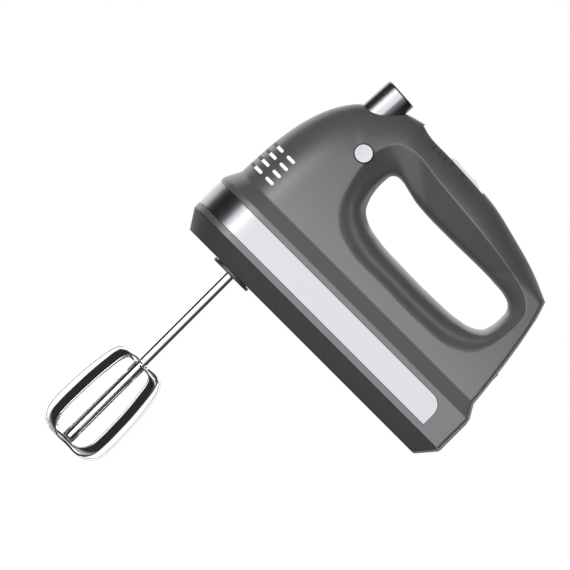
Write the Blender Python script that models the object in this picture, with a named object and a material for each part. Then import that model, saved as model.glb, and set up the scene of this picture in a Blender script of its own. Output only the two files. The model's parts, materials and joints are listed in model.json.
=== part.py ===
"""Hand mixer: clamshell housing with a loop handle, twin beaters, worm-driven spindles, ejector and
speed slider.

Design axes, in millimetres, with the mixer held for mixing: X runs from the nose to the heel, Y to the
mixer's right, Z up.  Zero is on the mid-plane, at the underside of the base.  The stance empty then
turns everything onto its heel, which is how the mixer is put down, and stands it on Z = 0.
"""
import math

import bmesh
import bpy
import numpy as np
from mathutils import Vector
from mathutils.geometry import tessellate_polygon

METRES = 0.001                      # one design millimetre

# Housing
WALL = 2.5                          # plastic wall
SEAM = 0.15                         # each half stops this far from the mid-plane
GAP = 0.3                           # between neighbouring pieces
BODY_FRONT, BODY_REAR = -3.6, 193.2  # upper body where it meets the ledge
BODY_HALF = 38.5
SKIRT_FRONT, SKIRT_REAR = -8.7, 198.9
SKIRT_HALF = 43.5
FLOOR_FRONT, FLOOR_REAR = -1.2, 189.0
FLOOR_HALF = 36.0
LEDGE_TOP, LEDGE_LOW, COVER_TOP = 46.8, 37.2, 12.0
TAPER, TAPER_POWER, TAPER_HEIGHT = 24.0, 1.3, 98.2   # how the body narrows towards the handle
BODY_NOSE, BODY_CORNER = 32.0, 2.8  # length of the rounding at the nose and at the heel
SKIRT_NOSE, SKIRT_CORNER = 35.0, 3.2
NOSE_POWER, CORNER_POWER = 2.1, 3.2
TOP_ROUND = 17.0                    # rounding over the top of the handle

FRONT_EDGE = [(-3.6, 46.8), (-3.0, 60.0), (-1.8, 75.6), (0.6, 90.0), (4.8, 104.4), (9.9, 115.2),
              (17.7, 125.4), (29.0, 133.4), (41.7, 141.0), (54.0, 144.6)]
TOP_EDGE = [(54.0, 144.6), (60.0, 142.9), (78.0, 142.0), (98.0, 141.0), (116.4, 139.6), (140.4, 134.1),
            (163.0, 127.5), (180.6, 120.0)]
REAR_EDGE = [(180.6, 120.0), (183.3, 111.6), (186.0, 100.8), (187.8, 90.0), (190.5, 72.0),
             (192.4, 56.0), (193.2, 46.8)]
GRIP_OPENING = [(64.0, 110.2), (69.0, 110.7), (75.0, 109.4), (83.0, 107.6), (92.0, 106.8), (115.0, 106.5),
                (150.0, 106.5), (159.6, 105.6), (165.2, 103.4), (167.9, 99.5), (168.3, 95.0), (167.7, 88.0),
                (165.6, 82.0), (160.0, 78.0), (150.0, 75.6), (130.0, 74.4), (105.0, 74.5), (85.0, 75.6),
                (72.0, 78.6), (65.7, 82.8), (62.6, 89.0), (61.0, 97.0), (61.0, 104.0), (61.8, 108.2)]
FLARE_RIDGE = [(47.8, 120.0), (52.7, 126.0), (60.3, 128.4), (83.0, 126.4), (118.5, 123.2), (145.0, 120.1),
               (162.5, 116.5), (171.4, 112.6), (176.6, 107.0), (178.0, 100.0), (177.6, 90.0), (176.4, 79.5),
               (171.4, 68.3), (160.8, 61.2), (136.0, 58.0), (105.0, 58.2), (74.4, 59.4), (62.0, 64.0),
               (52.5, 74.0), (47.5, 88.0), (45.0, 102.0), (45.2, 113.0)]
GRIP_CENTRE = (115.0, 91.0)

# Vents in the nose
VENT_ROWS = [54.6, 60.6, 66.6, 72.6]
VENT_HALF = 1.05
NOSE_RIB = 5.0                      # the nose stays closed this far from the mid-plane
VENT_SPANS = [(-14.0, 5.7), (9.0, 15.3)]

# Trim band let into the skirt
BAND_LOW, BAND_HIGH = 16.5, 33.6
BAND_END = 180.6
BAND_CORNER = 8.5
BAND_THICK = 1.0

# Heel: the line through the skirt's rear edge and the back of the handle
HEEL_LOW, HEEL_HIGH = (198.6, 36.0), (185.7, 100.8)

# Screws: across the mid-plane as (x, z), and up through the base as (x, y)
HOUSING_SCREWS = [(13.0, 84.0), (112.0, 129.0), (185.5, 53.0)]
BASE_SCREWS = [(10.0, -14.0), (10.0, 14.0), (178.0, -24.0), (178.0, 24.0)]

# Base cover: its floor, and the lip that stands inside the housing's rim
FLOOR_THICK, LIP_HEIGHT, LIP_THICK = 3.0, 2.2, 1.3

# Drive train
SPINDLE_X, SPINDLE_Y = 35.4, 19.0
MOTOR_Z = 34.0
GEAR_TEETH, WORM_STARTS = 30, 2
TOOTH_PITCH = 3.25
GEAR_PITCH_RADIUS = GEAR_TEETH * TOOTH_PITCH / (2 * math.pi)
GEAR_TIP, GEAR_ROOT = 16.0, 14.4
GEAR_LOW, GEAR_HIGH = 30.0, 38.0
WORM_LEAD = WORM_STARTS * TOOTH_PITCH
WORM_STEPS = 12                     # facets round the worm, and steps along one lead
WORM_PROFILE = [4.05, 3.5, 2.5, 2.5, 2.5, 3.5]
SHAFT_RADIUS = 2.5
SPINDLE_RADIUS, SPINDLE_BORE = 6.0, 3.4
SPINDLE_LOW, SPINDLE_TOP = -1.0, 43.0

# Beaters
BEATER_SHAFT_RADIUS = 3.0
BEATER_TOP, BEATER_SHAFT_END = 44.2, -139.2
BLADE_WIDTH, BLADE_THICK = 7.8, 1.2
BLADE_STEP = 1.8                    # one loop lies inside the other by this much
BLADE_PATH = [(13.0, -77.0), (16.4, -78.2), (18.6, -82.0), (20.6, -91.0), (22.1, -103.0), (22.8, -116.0),
              (22.9, -127.0), (21.6, -135.5), (17.6, -140.6), (12.0, -142.8)]
LEFT_PHASE, RIGHT_PHASE = 45.0, 0.0

# Ejector
EJECT_X = 31.2                      # centre of the button's top
EJECT_RADIUS, EJECT_TOP, EJECT_LOW = 10.7, 147.9, 112.0
EJECT_LEAN = math.radians(3.3)      # the button's top leans towards the heel

# Speed slider
KNOB_FRONT, KNOB_REAR, KNOB_HALF = 78.8, 105.8, 5.2
TRACK_FRONT, TRACK_REAR, TRACK_HALF = 54.6, 107.6, 5.6
TRACK_FLOOR = 137.4

CORD_Z = 64.0                       # height of the cord grommet in the heel

# Side button
BOOST_X, BOOST_Z, BOOST_RADIUS = 40.5, 106.2, 5.7
BOOST_FACE, BOOST_INNER = -27.8, -20.5

MATERIALS = {                       # colour, roughness, metallic
    "grey_plastic": ((0.165, 0.168, 0.176), 0.38, 0.0),
    "dark_plastic": ((0.075, 0.077, 0.082), 0.42, 0.0),
    "silver_trim": ((0.72, 0.72, 0.75), 0.30, 0.85),
    "polished_steel": ((0.86, 0.87, 0.88), 0.08, 1.0),
    "spring_steel": ((0.55, 0.55, 0.56), 0.35, 1.0),
    "laminated_iron": ((0.30, 0.30, 0.31), 0.50, 0.9),
    "copper_wire": ((0.72, 0.32, 0.14), 0.35, 1.0),
    "bronze": ((0.62, 0.42, 0.20), 0.40, 1.0),
    "white_nylon": ((0.84, 0.83, 0.78), 0.45, 0.0),
    "black_plastic": ((0.03, 0.03, 0.032), 0.45, 0.0),
    "carbon": ((0.04, 0.04, 0.042), 0.70, 0.2),
    "board_green": ((0.05, 0.22, 0.10), 0.45, 0.0),
    "capacitor_yellow": ((0.78, 0.60, 0.12), 0.45, 0.0),
    "wire_blue": ((0.06, 0.16, 0.42), 0.45, 0.0),
}


# ---------------------------------------------------------------------------- curves and outlines

def fair_curve(points, per_span, closed=False):
    """A smooth curve through the given points, with per_span steps between neighbours."""
    pts = np.array(points, float)
    if closed:
        pts = np.vstack([pts[-1], pts, pts[0], pts[1]])
    else:
        pts = np.vstack([2 * pts[0] - pts[1], pts, 2 * pts[-1] - pts[-2]])
    gaps = np.linalg.norm(np.diff(pts, axis=0), axis=1)[:, None]
    slopes = np.diff(pts, axis=0) / gaps
    tangents = (slopes[:-1] * gaps[1:] + slopes[1:] * gaps[:-1]) / (gaps[:-1] + gaps[1:])
    curve = []
    for i in range(1, len(pts) - 2):
        t = np.linspace(0, 1, per_span, endpoint=False)[:, None]
        start, end, span = pts[i], pts[i + 1], gaps[i]
        curve.append((2 * t**3 - 3 * t**2 + 1) * start + (t**3 - 2 * t**2 + t) * span * tangents[i - 1]
                     + (3 * t**2 - 2 * t**3) * end + (t**3 - t**2) * span * tangents[i])
    curve = np.vstack(curve)
    return curve if closed else np.vstack([curve, pts[-2]])


def even_steps(curve, count):
    """The curve resampled to count equal steps."""
    run = np.concatenate([[0], np.cumsum(np.linalg.norm(np.diff(curve, axis=0), axis=1))])
    marks = np.linspace(0, run[-1], count + 1)
    return np.column_stack([np.interp(marks, run, curve[:, 0]), np.interp(marks, run, curve[:, 1])])


def offset_inward(curve, distance):
    """An open side outline moved towards the grip opening's side."""
    along = np.gradient(curve, axis=0)
    along /= np.linalg.norm(along, axis=1)[:, None]
    return curve + distance * np.column_stack([along[:, 1], -along[:, 0]])


def polar_radius(loop, angles):
    """How far a closed side outline lies from the grip's centre, at the given angles."""
    rel = loop - np.array(GRIP_CENTRE)
    return np.interp(angles, np.arctan2(rel[:, 1], rel[:, 0]), np.hypot(rel[:, 0], rel[:, 1]),
                     period=2 * math.pi)


def plan_outline(front, rear, half, nose, corner, nose_steps=8, side_steps=4, corner_steps=3):
    """One side of a plan outline, from the middle of the nose to the middle of the heel."""
    turn = np.radians(np.linspace(0, 90, nose_steps + 1))
    bend = np.radians(np.linspace(90, 0, corner_steps + 1))
    nose_x = front + nose * (1 - np.cos(turn))
    nose_y = half * (1 - np.cos(turn)**NOSE_POWER)**(1 / NOSE_POWER)
    corner_x = rear - corner * (1 - np.cos(bend))
    corner_y = half * (1 - np.cos(bend)**CORNER_POWER)**(1 / CORNER_POWER)
    side_x = np.linspace(nose_x[-1], corner_x[0], side_steps + 1)[1:-1]
    side_y = np.full(side_steps - 1, float(half))
    return np.column_stack([np.concatenate([nose_x, side_x, corner_x]),
                            np.concatenate([nose_y, side_y, corner_y])])


def side_outline():
    """The housing's side outline above the ledge, from the nose over the handle to the heel."""
    front = even_steps(fair_curve(FRONT_EDGE, 10), 15)
    top = even_steps(fair_curve(TOP_EDGE, 10), 12)
    rear = even_steps(fair_curve(REAR_EDGE, 10), 6)
    return np.vstack([front, top[1:], rear[1:]])


def half_width(points, inset=0.0):
    """Half the body's width at points of the side view, measured from the mid-plane."""
    outline = side_outline()
    drop = np.array([0.0, 80.0])
    outline = np.vstack([outline[0] - drop, outline, outline[-1] - drop])
    start, step = outline[:-1], np.diff(outline, axis=0)
    rel = points[:, None, :] - start[None]
    along = np.clip((rel * step).sum(2) / (step * step).sum(1), 0, 1)
    nearest = start[None] + along[..., None] * step[None]
    distance = np.linalg.norm(points[:, None, :] - nearest, axis=2)
    pick = distance.argmin(1)
    rows = np.arange(len(points))
    edge_x = nearest[rows, pick, 0]
    rounding = np.interp(edge_x, [15, 50, 160, 181], [BODY_NOSE, TOP_ROUND, TOP_ROUND - 2, BODY_CORNER])
    power = np.interp(edge_x, [160, 181], [NOSE_POWER, CORNER_POWER])
    depth = np.clip((distance[rows, pick] - inset) / np.maximum(rounding - inset, 0.5), 0, 1)
    rise = np.clip((points[:, 1] - LEDGE_TOP) / TAPER_HEIGHT, 0, 1)
    full = BODY_HALF - TAPER * rise**TAPER_POWER - inset
    return full * (1 - (1 - depth)**power)**(1 / power)


def flare_share(fraction, ridge_height):
    """Share of the ridge's width that the grip's flared wall reaches, from its edge to the ridge.

    Under the handle the wall rolls in from the edge and runs straight to the ridge.  Low down it is one
    round roll, with a shallow cove between the roll and the ridge.
    """
    low = np.interp(ridge_height, [78, 108], [1.0, 0.0])
    turn = np.clip(fraction / 0.25, 0, 1)
    handle = 0.42 * np.sqrt(1 - (1 - turn)**2) + 0.58 * fraction
    turn = np.clip(fraction / 0.64, 0, 1)
    rise = np.clip((fraction - 0.62) / 0.38, 0, 1)
    roll = 0.89 * np.sqrt(1 - (1 - turn)**2) + 0.11 * rise**2 * (3 - 2 * rise)
    return low * roll + (1 - low) * handle


# ---------------------------------------------------------------------------- solids as points, faces

def join(*solids):
    """Several solids as one list of points and faces."""
    points, faces = [], []
    for solid_points, solid_faces in solids:
        base = len(points)
        points += [tuple(p) for p in solid_points]
        faces += [[base + i for i in face] for face in solid_faces]
    return points, faces


def on_axis(axis, first, second, along):
    """A point from two coordinates across an axis and one along it."""
    return {"x": (along, first, second), "y": (first, along, second), "z": (first, second, along)}[axis]


def prism(outline, low, high, axis="z", holes=()):
    """An outline, with holes, extruded along an axis."""
    loops = [list(outline)] + [list(hole) for hole in holes]
    flat = [point for loop in loops for point in loop]
    count = len(flat)
    points = [on_axis(axis, a, b, low) for a, b in flat] + [on_axis(axis, a, b, high) for a, b in flat]
    triangles = tessellate_polygon([[Vector((a, b, 0)) for a, b in loop] for loop in loops])
    faces = [list(tri) for tri in triangles] + [[i + count for i in reversed(tri)] for tri in triangles]
    base = 0
    for loop in loops:
        n = len(loop)
        faces += [[base + i, base + (i + 1) % n, base + (i + 1) % n + count, base + i + count]
                  for i in range(n)]
        base += n
    return points, faces


def block(x0, x1, y0, y1, z0, z1):
    """A rectangular block."""
    return prism([(x0, y0), (x1, y0), (x1, y1), (x0, y1)], z0, z1)


def circle(radius, count, centre=(0.0, 0.0), start=0.0):
    """Points of a circle."""
    return [(centre[0] + radius * math.cos(start + 2 * math.pi * i / count),
             centre[1] + radius * math.sin(start + 2 * math.pi * i / count)) for i in range(count)]


def turned(profile, centre, axis="z", steps=18):
    """A closed profile of (radius, height) turned about an axis; radius 0 lies on the axis."""
    points, rings = [], []
    for radius, height in profile:
        if radius == 0:
            rings.append([len(points)] * steps)
            points.append(on_axis(axis, centre[0], centre[1], height))
        else:
            rings.append(list(range(len(points), len(points) + steps)))
            points += [on_axis(axis, a, b, height) for a, b in circle(radius, steps, centre)]
    faces = []
    for low, high in zip(rings, rings[1:] + rings[:1]):
        for i in range(steps):
            corners = [low[i], low[(i + 1) % steps], high[(i + 1) % steps], high[i]]
            face = list(dict.fromkeys(corners))
            if len(face) > 2:
                faces.append(face)
    return points, faces


def tube_ring(inner, outer, low, high, centre, axis="z", steps=18):
    """A plain ring or bush."""
    return turned([(inner, low), (outer, low), (outer, high), (inner, high)], centre, axis, steps)


def rod(radius, low, high, centre, axis="z", steps=16):
    """A plain round bar."""
    return turned([(0, low), (radius, low), (radius, high), (0, high)], centre, axis, steps)


def swept(path, section):
    """A closed section, as offsets along two directions at each path point, swept with flat ends."""
    count = len(section[0])
    points = [tuple(point + offset) for point, offsets in zip(path, section) for offset in offsets]
    faces = [list(range(count)), list(reversed(range(len(points) - count, len(points))))]
    for i in range(len(path) - 1):
        for j in range(count):
            k = (j + 1) % count
            faces.append([i * count + j, (i + 1) * count + j, (i + 1) * count + k, i * count + k])
    return points, faces


def wire(path, radius, sides=6):
    """A round wire along a path, keeping its section from twisting."""
    path = [Vector(p) for p in path]
    ahead = [(path[min(i + 1, len(path) - 1)] - path[max(i - 1, 0)]).normalized() for i in range(len(path))]
    across = ahead[0].orthogonal().normalized()
    section = []
    for direction in ahead:
        across = (across - across.dot(direction) * direction).normalized()
        other = direction.cross(across)
        section.append([radius * (math.cos(a) * across + math.sin(a) * other)
                        for a in (2 * math.pi * i / sides for i in range(sides))])
    return swept(path, section)


# ---------------------------------------------------------------------------- objects

def add_piece(name, solid, material, stance, origin=(0.0, 0.0, 0.0), smooth=False, lean=0.0):
    """A named object from a solid; its origin is given in design coordinates, its lean is about Y."""
    points, faces = solid
    mesh = bpy.data.meshes.new(name)
    mesh.from_pydata([(Vector(p) - Vector(origin)) * METRES for p in points], [], faces)
    shape = bmesh.new()
    shape.from_mesh(mesh)
    bmesh.ops.recalc_face_normals(shape, faces=shape.faces)
    shape.to_mesh(mesh)
    shape.free()
    if smooth:
        mesh.shade_smooth()
        mesh.set_sharp_from_angle(angle=math.radians(35))
    piece = bpy.data.objects.new(name, mesh)
    bpy.context.scene.collection.objects.link(piece)
    piece.location = Vector(origin) * METRES
    piece.rotation_euler = (0.0, lean, 0.0)
    piece.parent = stance
    if material:
        mesh.materials.append(bpy.data.materials[material])
    return piece


def cut(piece, name, solid, stance, operation="DIFFERENCE", origin=(0.0, 0.0, 0.0), lean=0.0):
    """Cuts a solid out of a piece, or joins it on, with a hidden tool object."""
    tool = add_piece(name, solid, None, stance, origin, lean=lean)
    tool.hide_render = True
    tool.display_type = "WIRE"
    boolean = piece.modifiers.new(name, "BOOLEAN")
    boolean.operation = operation
    boolean.solver = "EXACT"
    boolean.object = tool
    boolean.use_self = True


def make_materials():
    for name, (colour, roughness, metallic) in MATERIALS.items():
        material = bpy.data.materials.new(name)
        material.use_nodes = True
        shader = material.node_tree.nodes["Principled BSDF"]
        shader.inputs["Base Color"].default_value = (*colour, 1.0)
        shader.inputs["Roughness"].default_value = roughness
        shader.inputs["Metallic"].default_value = metallic


# ---------------------------------------------------------------------------- housing

def housing_sheet(inset, flare_rows, side_rows):
    """One skin of a housing half: rows of (x, y, z), y measured from the mid-plane.

    The rows run from the edge of the grip opening over the flare ridge to the outline.  The last two
    rows, below the ledge, have only the stations along the bottom.
    """
    drop = inset * 0.6
    top = offset_inward(side_outline(), inset)
    top[0] = (BODY_FRONT + inset, LEDGE_TOP - drop)
    top[-1] = (BODY_REAR - inset, LEDGE_TOP - drop)
    foot = plan_outline(BODY_FRONT + inset, BODY_REAR - inset, BODY_HALF - inset, BODY_NOSE - inset,
                        BODY_CORNER - inset)
    bottom = np.column_stack([foot[1:-1, 0], np.full(len(foot) - 2, LEDGE_TOP - drop)])[::-1]
    outer = np.vstack([top, bottom])
    rel = outer - np.array(GRIP_CENTRE)
    angles = np.arctan2(rel[:, 1], rel[:, 0])
    toward = np.column_stack([np.cos(angles), np.sin(angles)])
    grip = fair_curve(GRIP_OPENING, 8, closed=True)
    ridge = fair_curve(FLARE_RIDGE, 8, closed=True)
    inner = np.array(GRIP_CENTRE) + toward * (polar_radius(grip, angles) + inset)[:, None]
    crest = np.array(GRIP_CENTRE) + toward * (polar_radius(ridge, angles) + inset * 0.4)[:, None]
    crest_width = half_width(crest, inset)
    rows = []
    for k in range(flare_rows):
        fraction = (k / flare_rows)**1.6
        place = inner + (crest - inner) * fraction
        width = SEAM + (crest_width - SEAM) * flare_share(fraction, crest[:, 1])
        rows.append(np.column_stack([place[:, 0], width, place[:, 1]]))
    for k in range(side_rows + 1):
        fraction = math.sin(math.pi / 2 * k / side_rows)
        place = crest + (outer - crest) * fraction
        width = np.maximum(half_width(place, inset), SEAM)
        rows.append(np.column_stack([place[:, 0], width, place[:, 1]]))
    rows[-1][len(top):, 1] = foot[1:-1, 1][::-1]
    rows[-1][:len(top), 1] = SEAM
    skirt = plan_outline(SKIRT_FRONT + inset, SKIRT_REAR - inset, SKIRT_HALF - inset, SKIRT_NOSE - inset,
                         SKIRT_CORNER - inset)
    for height in (LEDGE_LOW - drop * 0.4, COVER_TOP + GAP):
        rows.append(np.column_stack([skirt[:, 0], np.maximum(skirt[:, 1], SEAM),
                                     np.full(len(skirt), height)]))
    return rows, len(top)


def housing_half(side):
    """One half of the clamshell as a closed solid, on the left (-1) or the right (1)."""
    points, faces, edges = [], [], []
    for inset, flare_rows, side_rows in ((0.0, 4, 6), (WALL, 2, 4)):
        rows, top_count = housing_sheet(inset, flare_rows, side_rows)
        index = []
        for row in rows:
            index.append(list(range(len(points), len(points) + len(row))))
            points += [(x, side * y, z) for x, y, z in row]
        stations = len(rows[0])
        for low, high in zip(index[:-3], index[1:-2]):
            faces += [[low[i], low[(i + 1) % stations], high[(i + 1) % stations], high[i]]
                      for i in range(stations)]
        outline, ledge, rim = index[-3:]
        foot = [outline[0]] + outline[:top_count - 1:-1] + [outline[top_count - 1]]
        for low, high in ((foot, ledge), (ledge, rim)):
            faces += [[low[i], low[i + 1], high[i + 1], high[i]] for i in range(len(low) - 1)]
        edges.append((index[0], rim + [ledge[-1]] + outline[top_count - 1::-1] + [ledge[0]]))
    for outer, inner in zip(*edges):
        count = len(outer)
        faces += [[outer[i], outer[(i + 1) % count], inner[(i + 1) % count], inner[i]]
                  for i in range(count)]
    return points, faces


def band_solid(inner, outer, margin):
    """The U-shaped trim band round the nose; inner and outer are depths from the skirt's face."""
    end = BAND_END + margin
    bend = np.radians(np.linspace(90, 0, 6))
    tail = end - BAND_CORNER + BAND_CORNER * np.cos(bend)
    drop = BAND_CORNER * (1 - np.sin(bend))

    def one_side(depth):
        full = plan_outline(SKIRT_FRONT + depth, SKIRT_REAR - depth, SKIRT_HALF - depth, SKIRT_NOSE - depth,
                            SKIRT_CORNER - depth)
        kept = full[full[:, 0] < end - BAND_CORNER]
        return np.vstack([kept, np.column_stack([tail, np.full(len(tail), SKIRT_HALF - depth)])])

    near, far = one_side(inner), one_side(outer)
    tops = np.concatenate([np.zeros(len(near) - len(drop)), drop])
    path, section = [], []
    for side in (-1, 1):
        order = range(len(near) - 1, -1, -1) if side < 0 else range(1, len(near))
        for i in order:
            low, high = BAND_LOW - margin, BAND_HIGH + margin - tops[i]
            path.append(Vector((0, 0, 0)))
            section.append([Vector((near[i][0], side * near[i][1], low)),
                            Vector((far[i][0], side * far[i][1], low)),
                            Vector((far[i][0], side * far[i][1], high)),
                            Vector((near[i][0], side * near[i][1], high))])
    return swept(path, section)


def closed_plan(front, rear, half, nose, corner):
    """A whole plan outline, both sides."""
    one = plan_outline(front, rear, half, nose, corner)
    return [(x, -y) for x, y in one] + [(x, y) for x, y in one[-2:0:-1]]


def base_cover_solid():
    """A shallow tray with a steep chamfer all round and a lip inside the housing's rim."""
    def skirt_plan(inset):
        return closed_plan(SKIRT_FRONT + inset, SKIRT_REAR - inset, SKIRT_HALF - inset, SKIRT_NOSE - inset,
                           SKIRT_CORNER - inset)

    lip_out, lip_in = WALL + GAP, WALL + GAP + LIP_THICK
    rings = [(closed_plan(FLOOR_FRONT, FLOOR_REAR, FLOOR_HALF, 30, 8), 0.0), (skirt_plan(0.0), COVER_TOP),
             (skirt_plan(lip_out), COVER_TOP), (skirt_plan(lip_out), COVER_TOP + LIP_HEIGHT),
             (skirt_plan(lip_in), COVER_TOP + LIP_HEIGHT), (skirt_plan(lip_in), COVER_TOP - 1),
             (closed_plan(FLOOR_FRONT + WALL, FLOOR_REAR - WALL, FLOOR_HALF - WALL, 27.5, 5.5), FLOOR_THICK)]
    count = len(rings[0][0])
    points = [(x, y, height) for outline, height in rings for x, y in outline]
    faces = [list(range(count)), list(range((len(rings) - 1) * count, len(rings) * count))]
    for ring in range(len(rings) - 1):
        base = ring * count
        faces += [[base + i, base + (i + 1) % count, base + count + (i + 1) % count, base + count + i]
                  for i in range(count)]
    return points, faces


def vent_solids(side):
    """The slots in one side of the nose."""
    solids = []
    for height in VENT_ROWS:
        for front, rear in VENT_SPANS:
            low, high = height - VENT_HALF, height + VENT_HALF
            outline = [(front, low), (rear - VENT_HALF, low), (rear, height), (rear - VENT_HALF, high),
                       (front, high)]
            if front > 0:
                outline = [(front, height), (front + VENT_HALF, low)] + outline[1:4] \
                    + [(front + VENT_HALF, high)]
            near, far = sorted((side * NOSE_RIB, side * 60.0))
            solids.append(prism(outline, near, far, "y"))
    return join(*solids)


def heel_block():
    """Everything behind the heel plane, as a slab."""
    low, high = Vector(HEEL_LOW), Vector(HEEL_HIGH)
    along = (high - low).normalized() * 90
    behind = Vector((40, 0))
    corners = [low - along, high + along, high + along + behind, low - along + behind]
    return prism([tuple(c) for c in corners], -70, 70, "y")


def housing_cuts(side):
    """Everything cut out of one housing half."""
    cuts = [band_solid(BAND_THICK + GAP, -3.0, GAP), vent_solids(side),
            block(TRACK_FRONT - GAP, TRACK_REAR + GAP, -TRACK_HALF - GAP, TRACK_HALF + GAP, 133, 150),
            rod(6.0, 184, 200, (0, CORD_Z), "x"), heel_block()]
    if side < 0:
        cuts.append(rod(BOOST_RADIUS + 0.4, -34, -18, (BOOST_X, BOOST_Z), "y", 24))
    else:
        cuts += [rod(3.6, 8, 60, place, "y", 12) for place in HOUSING_SCREWS]
    return join(*cuts)


def make_housing(stance):
    for side, name in ((-1, "left"), (1, "right")):
        half = add_piece(f"{name}_housing", housing_half(side), "grey_plastic", stance, smooth=True)
        cut(half, f"{name}_housing_cuts", housing_cuts(side), stance)
        cut(half, f"{name}_eject_hole",
            rod(EJECT_RADIUS + 0.5, EJECT_LOW - 6, EJECT_TOP + 8, (EJECT_X, 0), steps=28), stance,
            origin=(EJECT_X, 0.0, EJECT_TOP), lean=EJECT_LEAN)
    cover = add_piece("base_cover", base_cover_solid(), "dark_plastic", stance, smooth=True)
    for i, side in enumerate((-1, 1)):
        cut(cover, f"socket_hole_{i}", rod(12.0, -3, 6, (SPINDLE_X, side * SPINDLE_Y), steps=24), stance)
    for i, (x, y) in enumerate(BASE_SCREWS):
        cut(cover, f"base_recess_{i}", rod(3.4, -1, 6, (x, y), steps=12), stance)
    add_piece("trim_band", band_solid(BAND_THICK, 0.0, 0.0), "silver_trim", stance, smooth=True)
    for side, name in ((-1, "left"), (1, "right")):
        collar = [(8.2, -2.4), (13.4, -2.4), (13.8, -2.0), (13.8, -0.3), (11.6, -0.3), (11.6, 4.4), (8.2, 4.4)]
        add_piece(f"{name}_socket_collar", turned(collar, (SPINDLE_X, side * SPINDLE_Y), steps=24),
                  "dark_plastic", stance, smooth=True)
    grommet = [(3.0, 185.5), (7.4, 185.5), (7.4, 187.6), (5.6, 187.6), (5.6, 191.4), (3.0, 191.4)]
    add_piece("cord_grommet", turned(grommet, (0, CORD_Z), "x"), "black_plastic", stance, smooth=True)
    screw = [(0, 0.4), (2.9, 0.4), (2.9, 2.6), (1.5, 2.8), (1.5, 11.0), (0, 11.6)]
    for i, place in enumerate(BASE_SCREWS, 1):
        add_piece(f"base_screw_{i}", turned(screw, place, steps=8), "spring_steel", stance, smooth=True)


# ---------------------------------------------------------------------------- drive train

def gear_solid(side):
    """A helical gear with a plain bore, its teeth cut to run on the worm."""
    centre = (SPINDLE_X, side * SPINDLE_Y)
    layers, bore_steps = 3, 18
    pitch_angle = 2 * math.pi / GEAR_TEETH
    lead_slope = WORM_LEAD / (2 * math.pi) / (SPINDLE_Y - GEAR_PITCH_RADIUS) / GEAR_PITCH_RADIUS
    facing = -side * math.pi / 2
    corners = [(GEAR_ROOT, -0.34), (GEAR_TIP, -0.13), (GEAR_TIP, 0.13), (GEAR_ROOT, 0.34)]
    points = []
    for layer in range(layers):
        height = GEAR_LOW + (GEAR_HIGH - GEAR_LOW) * layer / (layers - 1)
        twist = facing + (height - MOTOR_Z) * lead_slope
        for tooth in range(GEAR_TEETH):
            for radius, share in corners:
                angle = twist + (tooth + share) * pitch_angle
                points.append((centre[0] + radius * math.cos(angle), centre[1] + radius * math.sin(angle),
                               height))
    count = GEAR_TEETH * len(corners)
    bore = circle(SPINDLE_RADIUS + GAP, bore_steps, centre)
    faces = []
    for layer in range(layers - 1):
        base = layer * count
        faces += [[base + i, base + (i + 1) % count, base + count + (i + 1) % count, base + count + i]
                  for i in range(count)]
    low_bore = len(points)
    points += [(x, y, GEAR_LOW) for x, y in bore] + [(x, y, GEAR_HIGH) for x, y in bore]
    faces += [[low_bore + i, low_bore + (i + 1) % bore_steps, low_bore + bore_steps + (i + 1) % bore_steps,
               low_bore + bore_steps + i] for i in range(bore_steps)]
    for ring, hole in ((0, low_bore), ((layers - 1) * count, low_bore + bore_steps)):
        indices = list(range(ring, ring + count)) + list(range(hole, hole + bore_steps))
        loops = [[Vector((*points[i][:2], 0)) for i in range(ring, ring + count)],
                 [Vector((*points[i][:2], 0)) for i in range(hole, hole + bore_steps)]]
        faces += [[indices[i] for i in triangle] for triangle in tessellate_polygon(loops)]
    return points, faces


def rotor_shaft_solid():
    """The motor shaft with a two-start worm cut on its front end."""
    step = WORM_LEAD / WORM_STEPS
    worm_count = 34
    worm_start = SPINDLE_X + TOOTH_PITCH / 2 - step * worm_count / 2
    sections = [(10.0, [SHAFT_RADIUS] * WORM_STEPS), (worm_start - step, [SHAFT_RADIUS] * WORM_STEPS)]
    for layer in range(worm_count + 1):
        shift = layer - worm_count // 2
        radii = [WORM_PROFILE[(i - shift) % len(WORM_PROFILE)] for i in range(WORM_STEPS)]
        sections.append((worm_start + layer * step, radii))
    sections += [(worm_start + (worm_count + 1) * step, [SHAFT_RADIUS] * WORM_STEPS),
                 (142.0, [SHAFT_RADIUS] * WORM_STEPS)]
    points, faces = [], []
    for x, radii in sections:
        for i, radius in enumerate(radii):
            angle = 2 * math.pi * i / WORM_STEPS
            points.append((x, radius * math.cos(angle), MOTOR_Z + radius * math.sin(angle)))
    for ring in range(len(sections) - 1):
        base = ring * WORM_STEPS
        faces += [[base + i, base + (i + 1) % WORM_STEPS, base + WORM_STEPS + (i + 1) % WORM_STEPS,
                   base + WORM_STEPS + i] for i in range(WORM_STEPS)]
    faces += [list(range(WORM_STEPS)), list(range(len(points) - WORM_STEPS, len(points)))]
    return points, faces


def fan_outline(hub, tip, blades, half_angle):
    """A star of narrow blades round a hub."""
    outline = []
    for blade in range(blades):
        middle = 2 * math.pi * blade / blades
        for radius, angle in ((hub, -half_angle * tip / hub), (tip, -half_angle), (tip, half_angle),
                              (hub, half_angle * tip / hub)):
            outline.append((radius * math.cos(middle + angle), MOTOR_Z + radius * math.sin(middle + angle)))
    return outline


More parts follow.
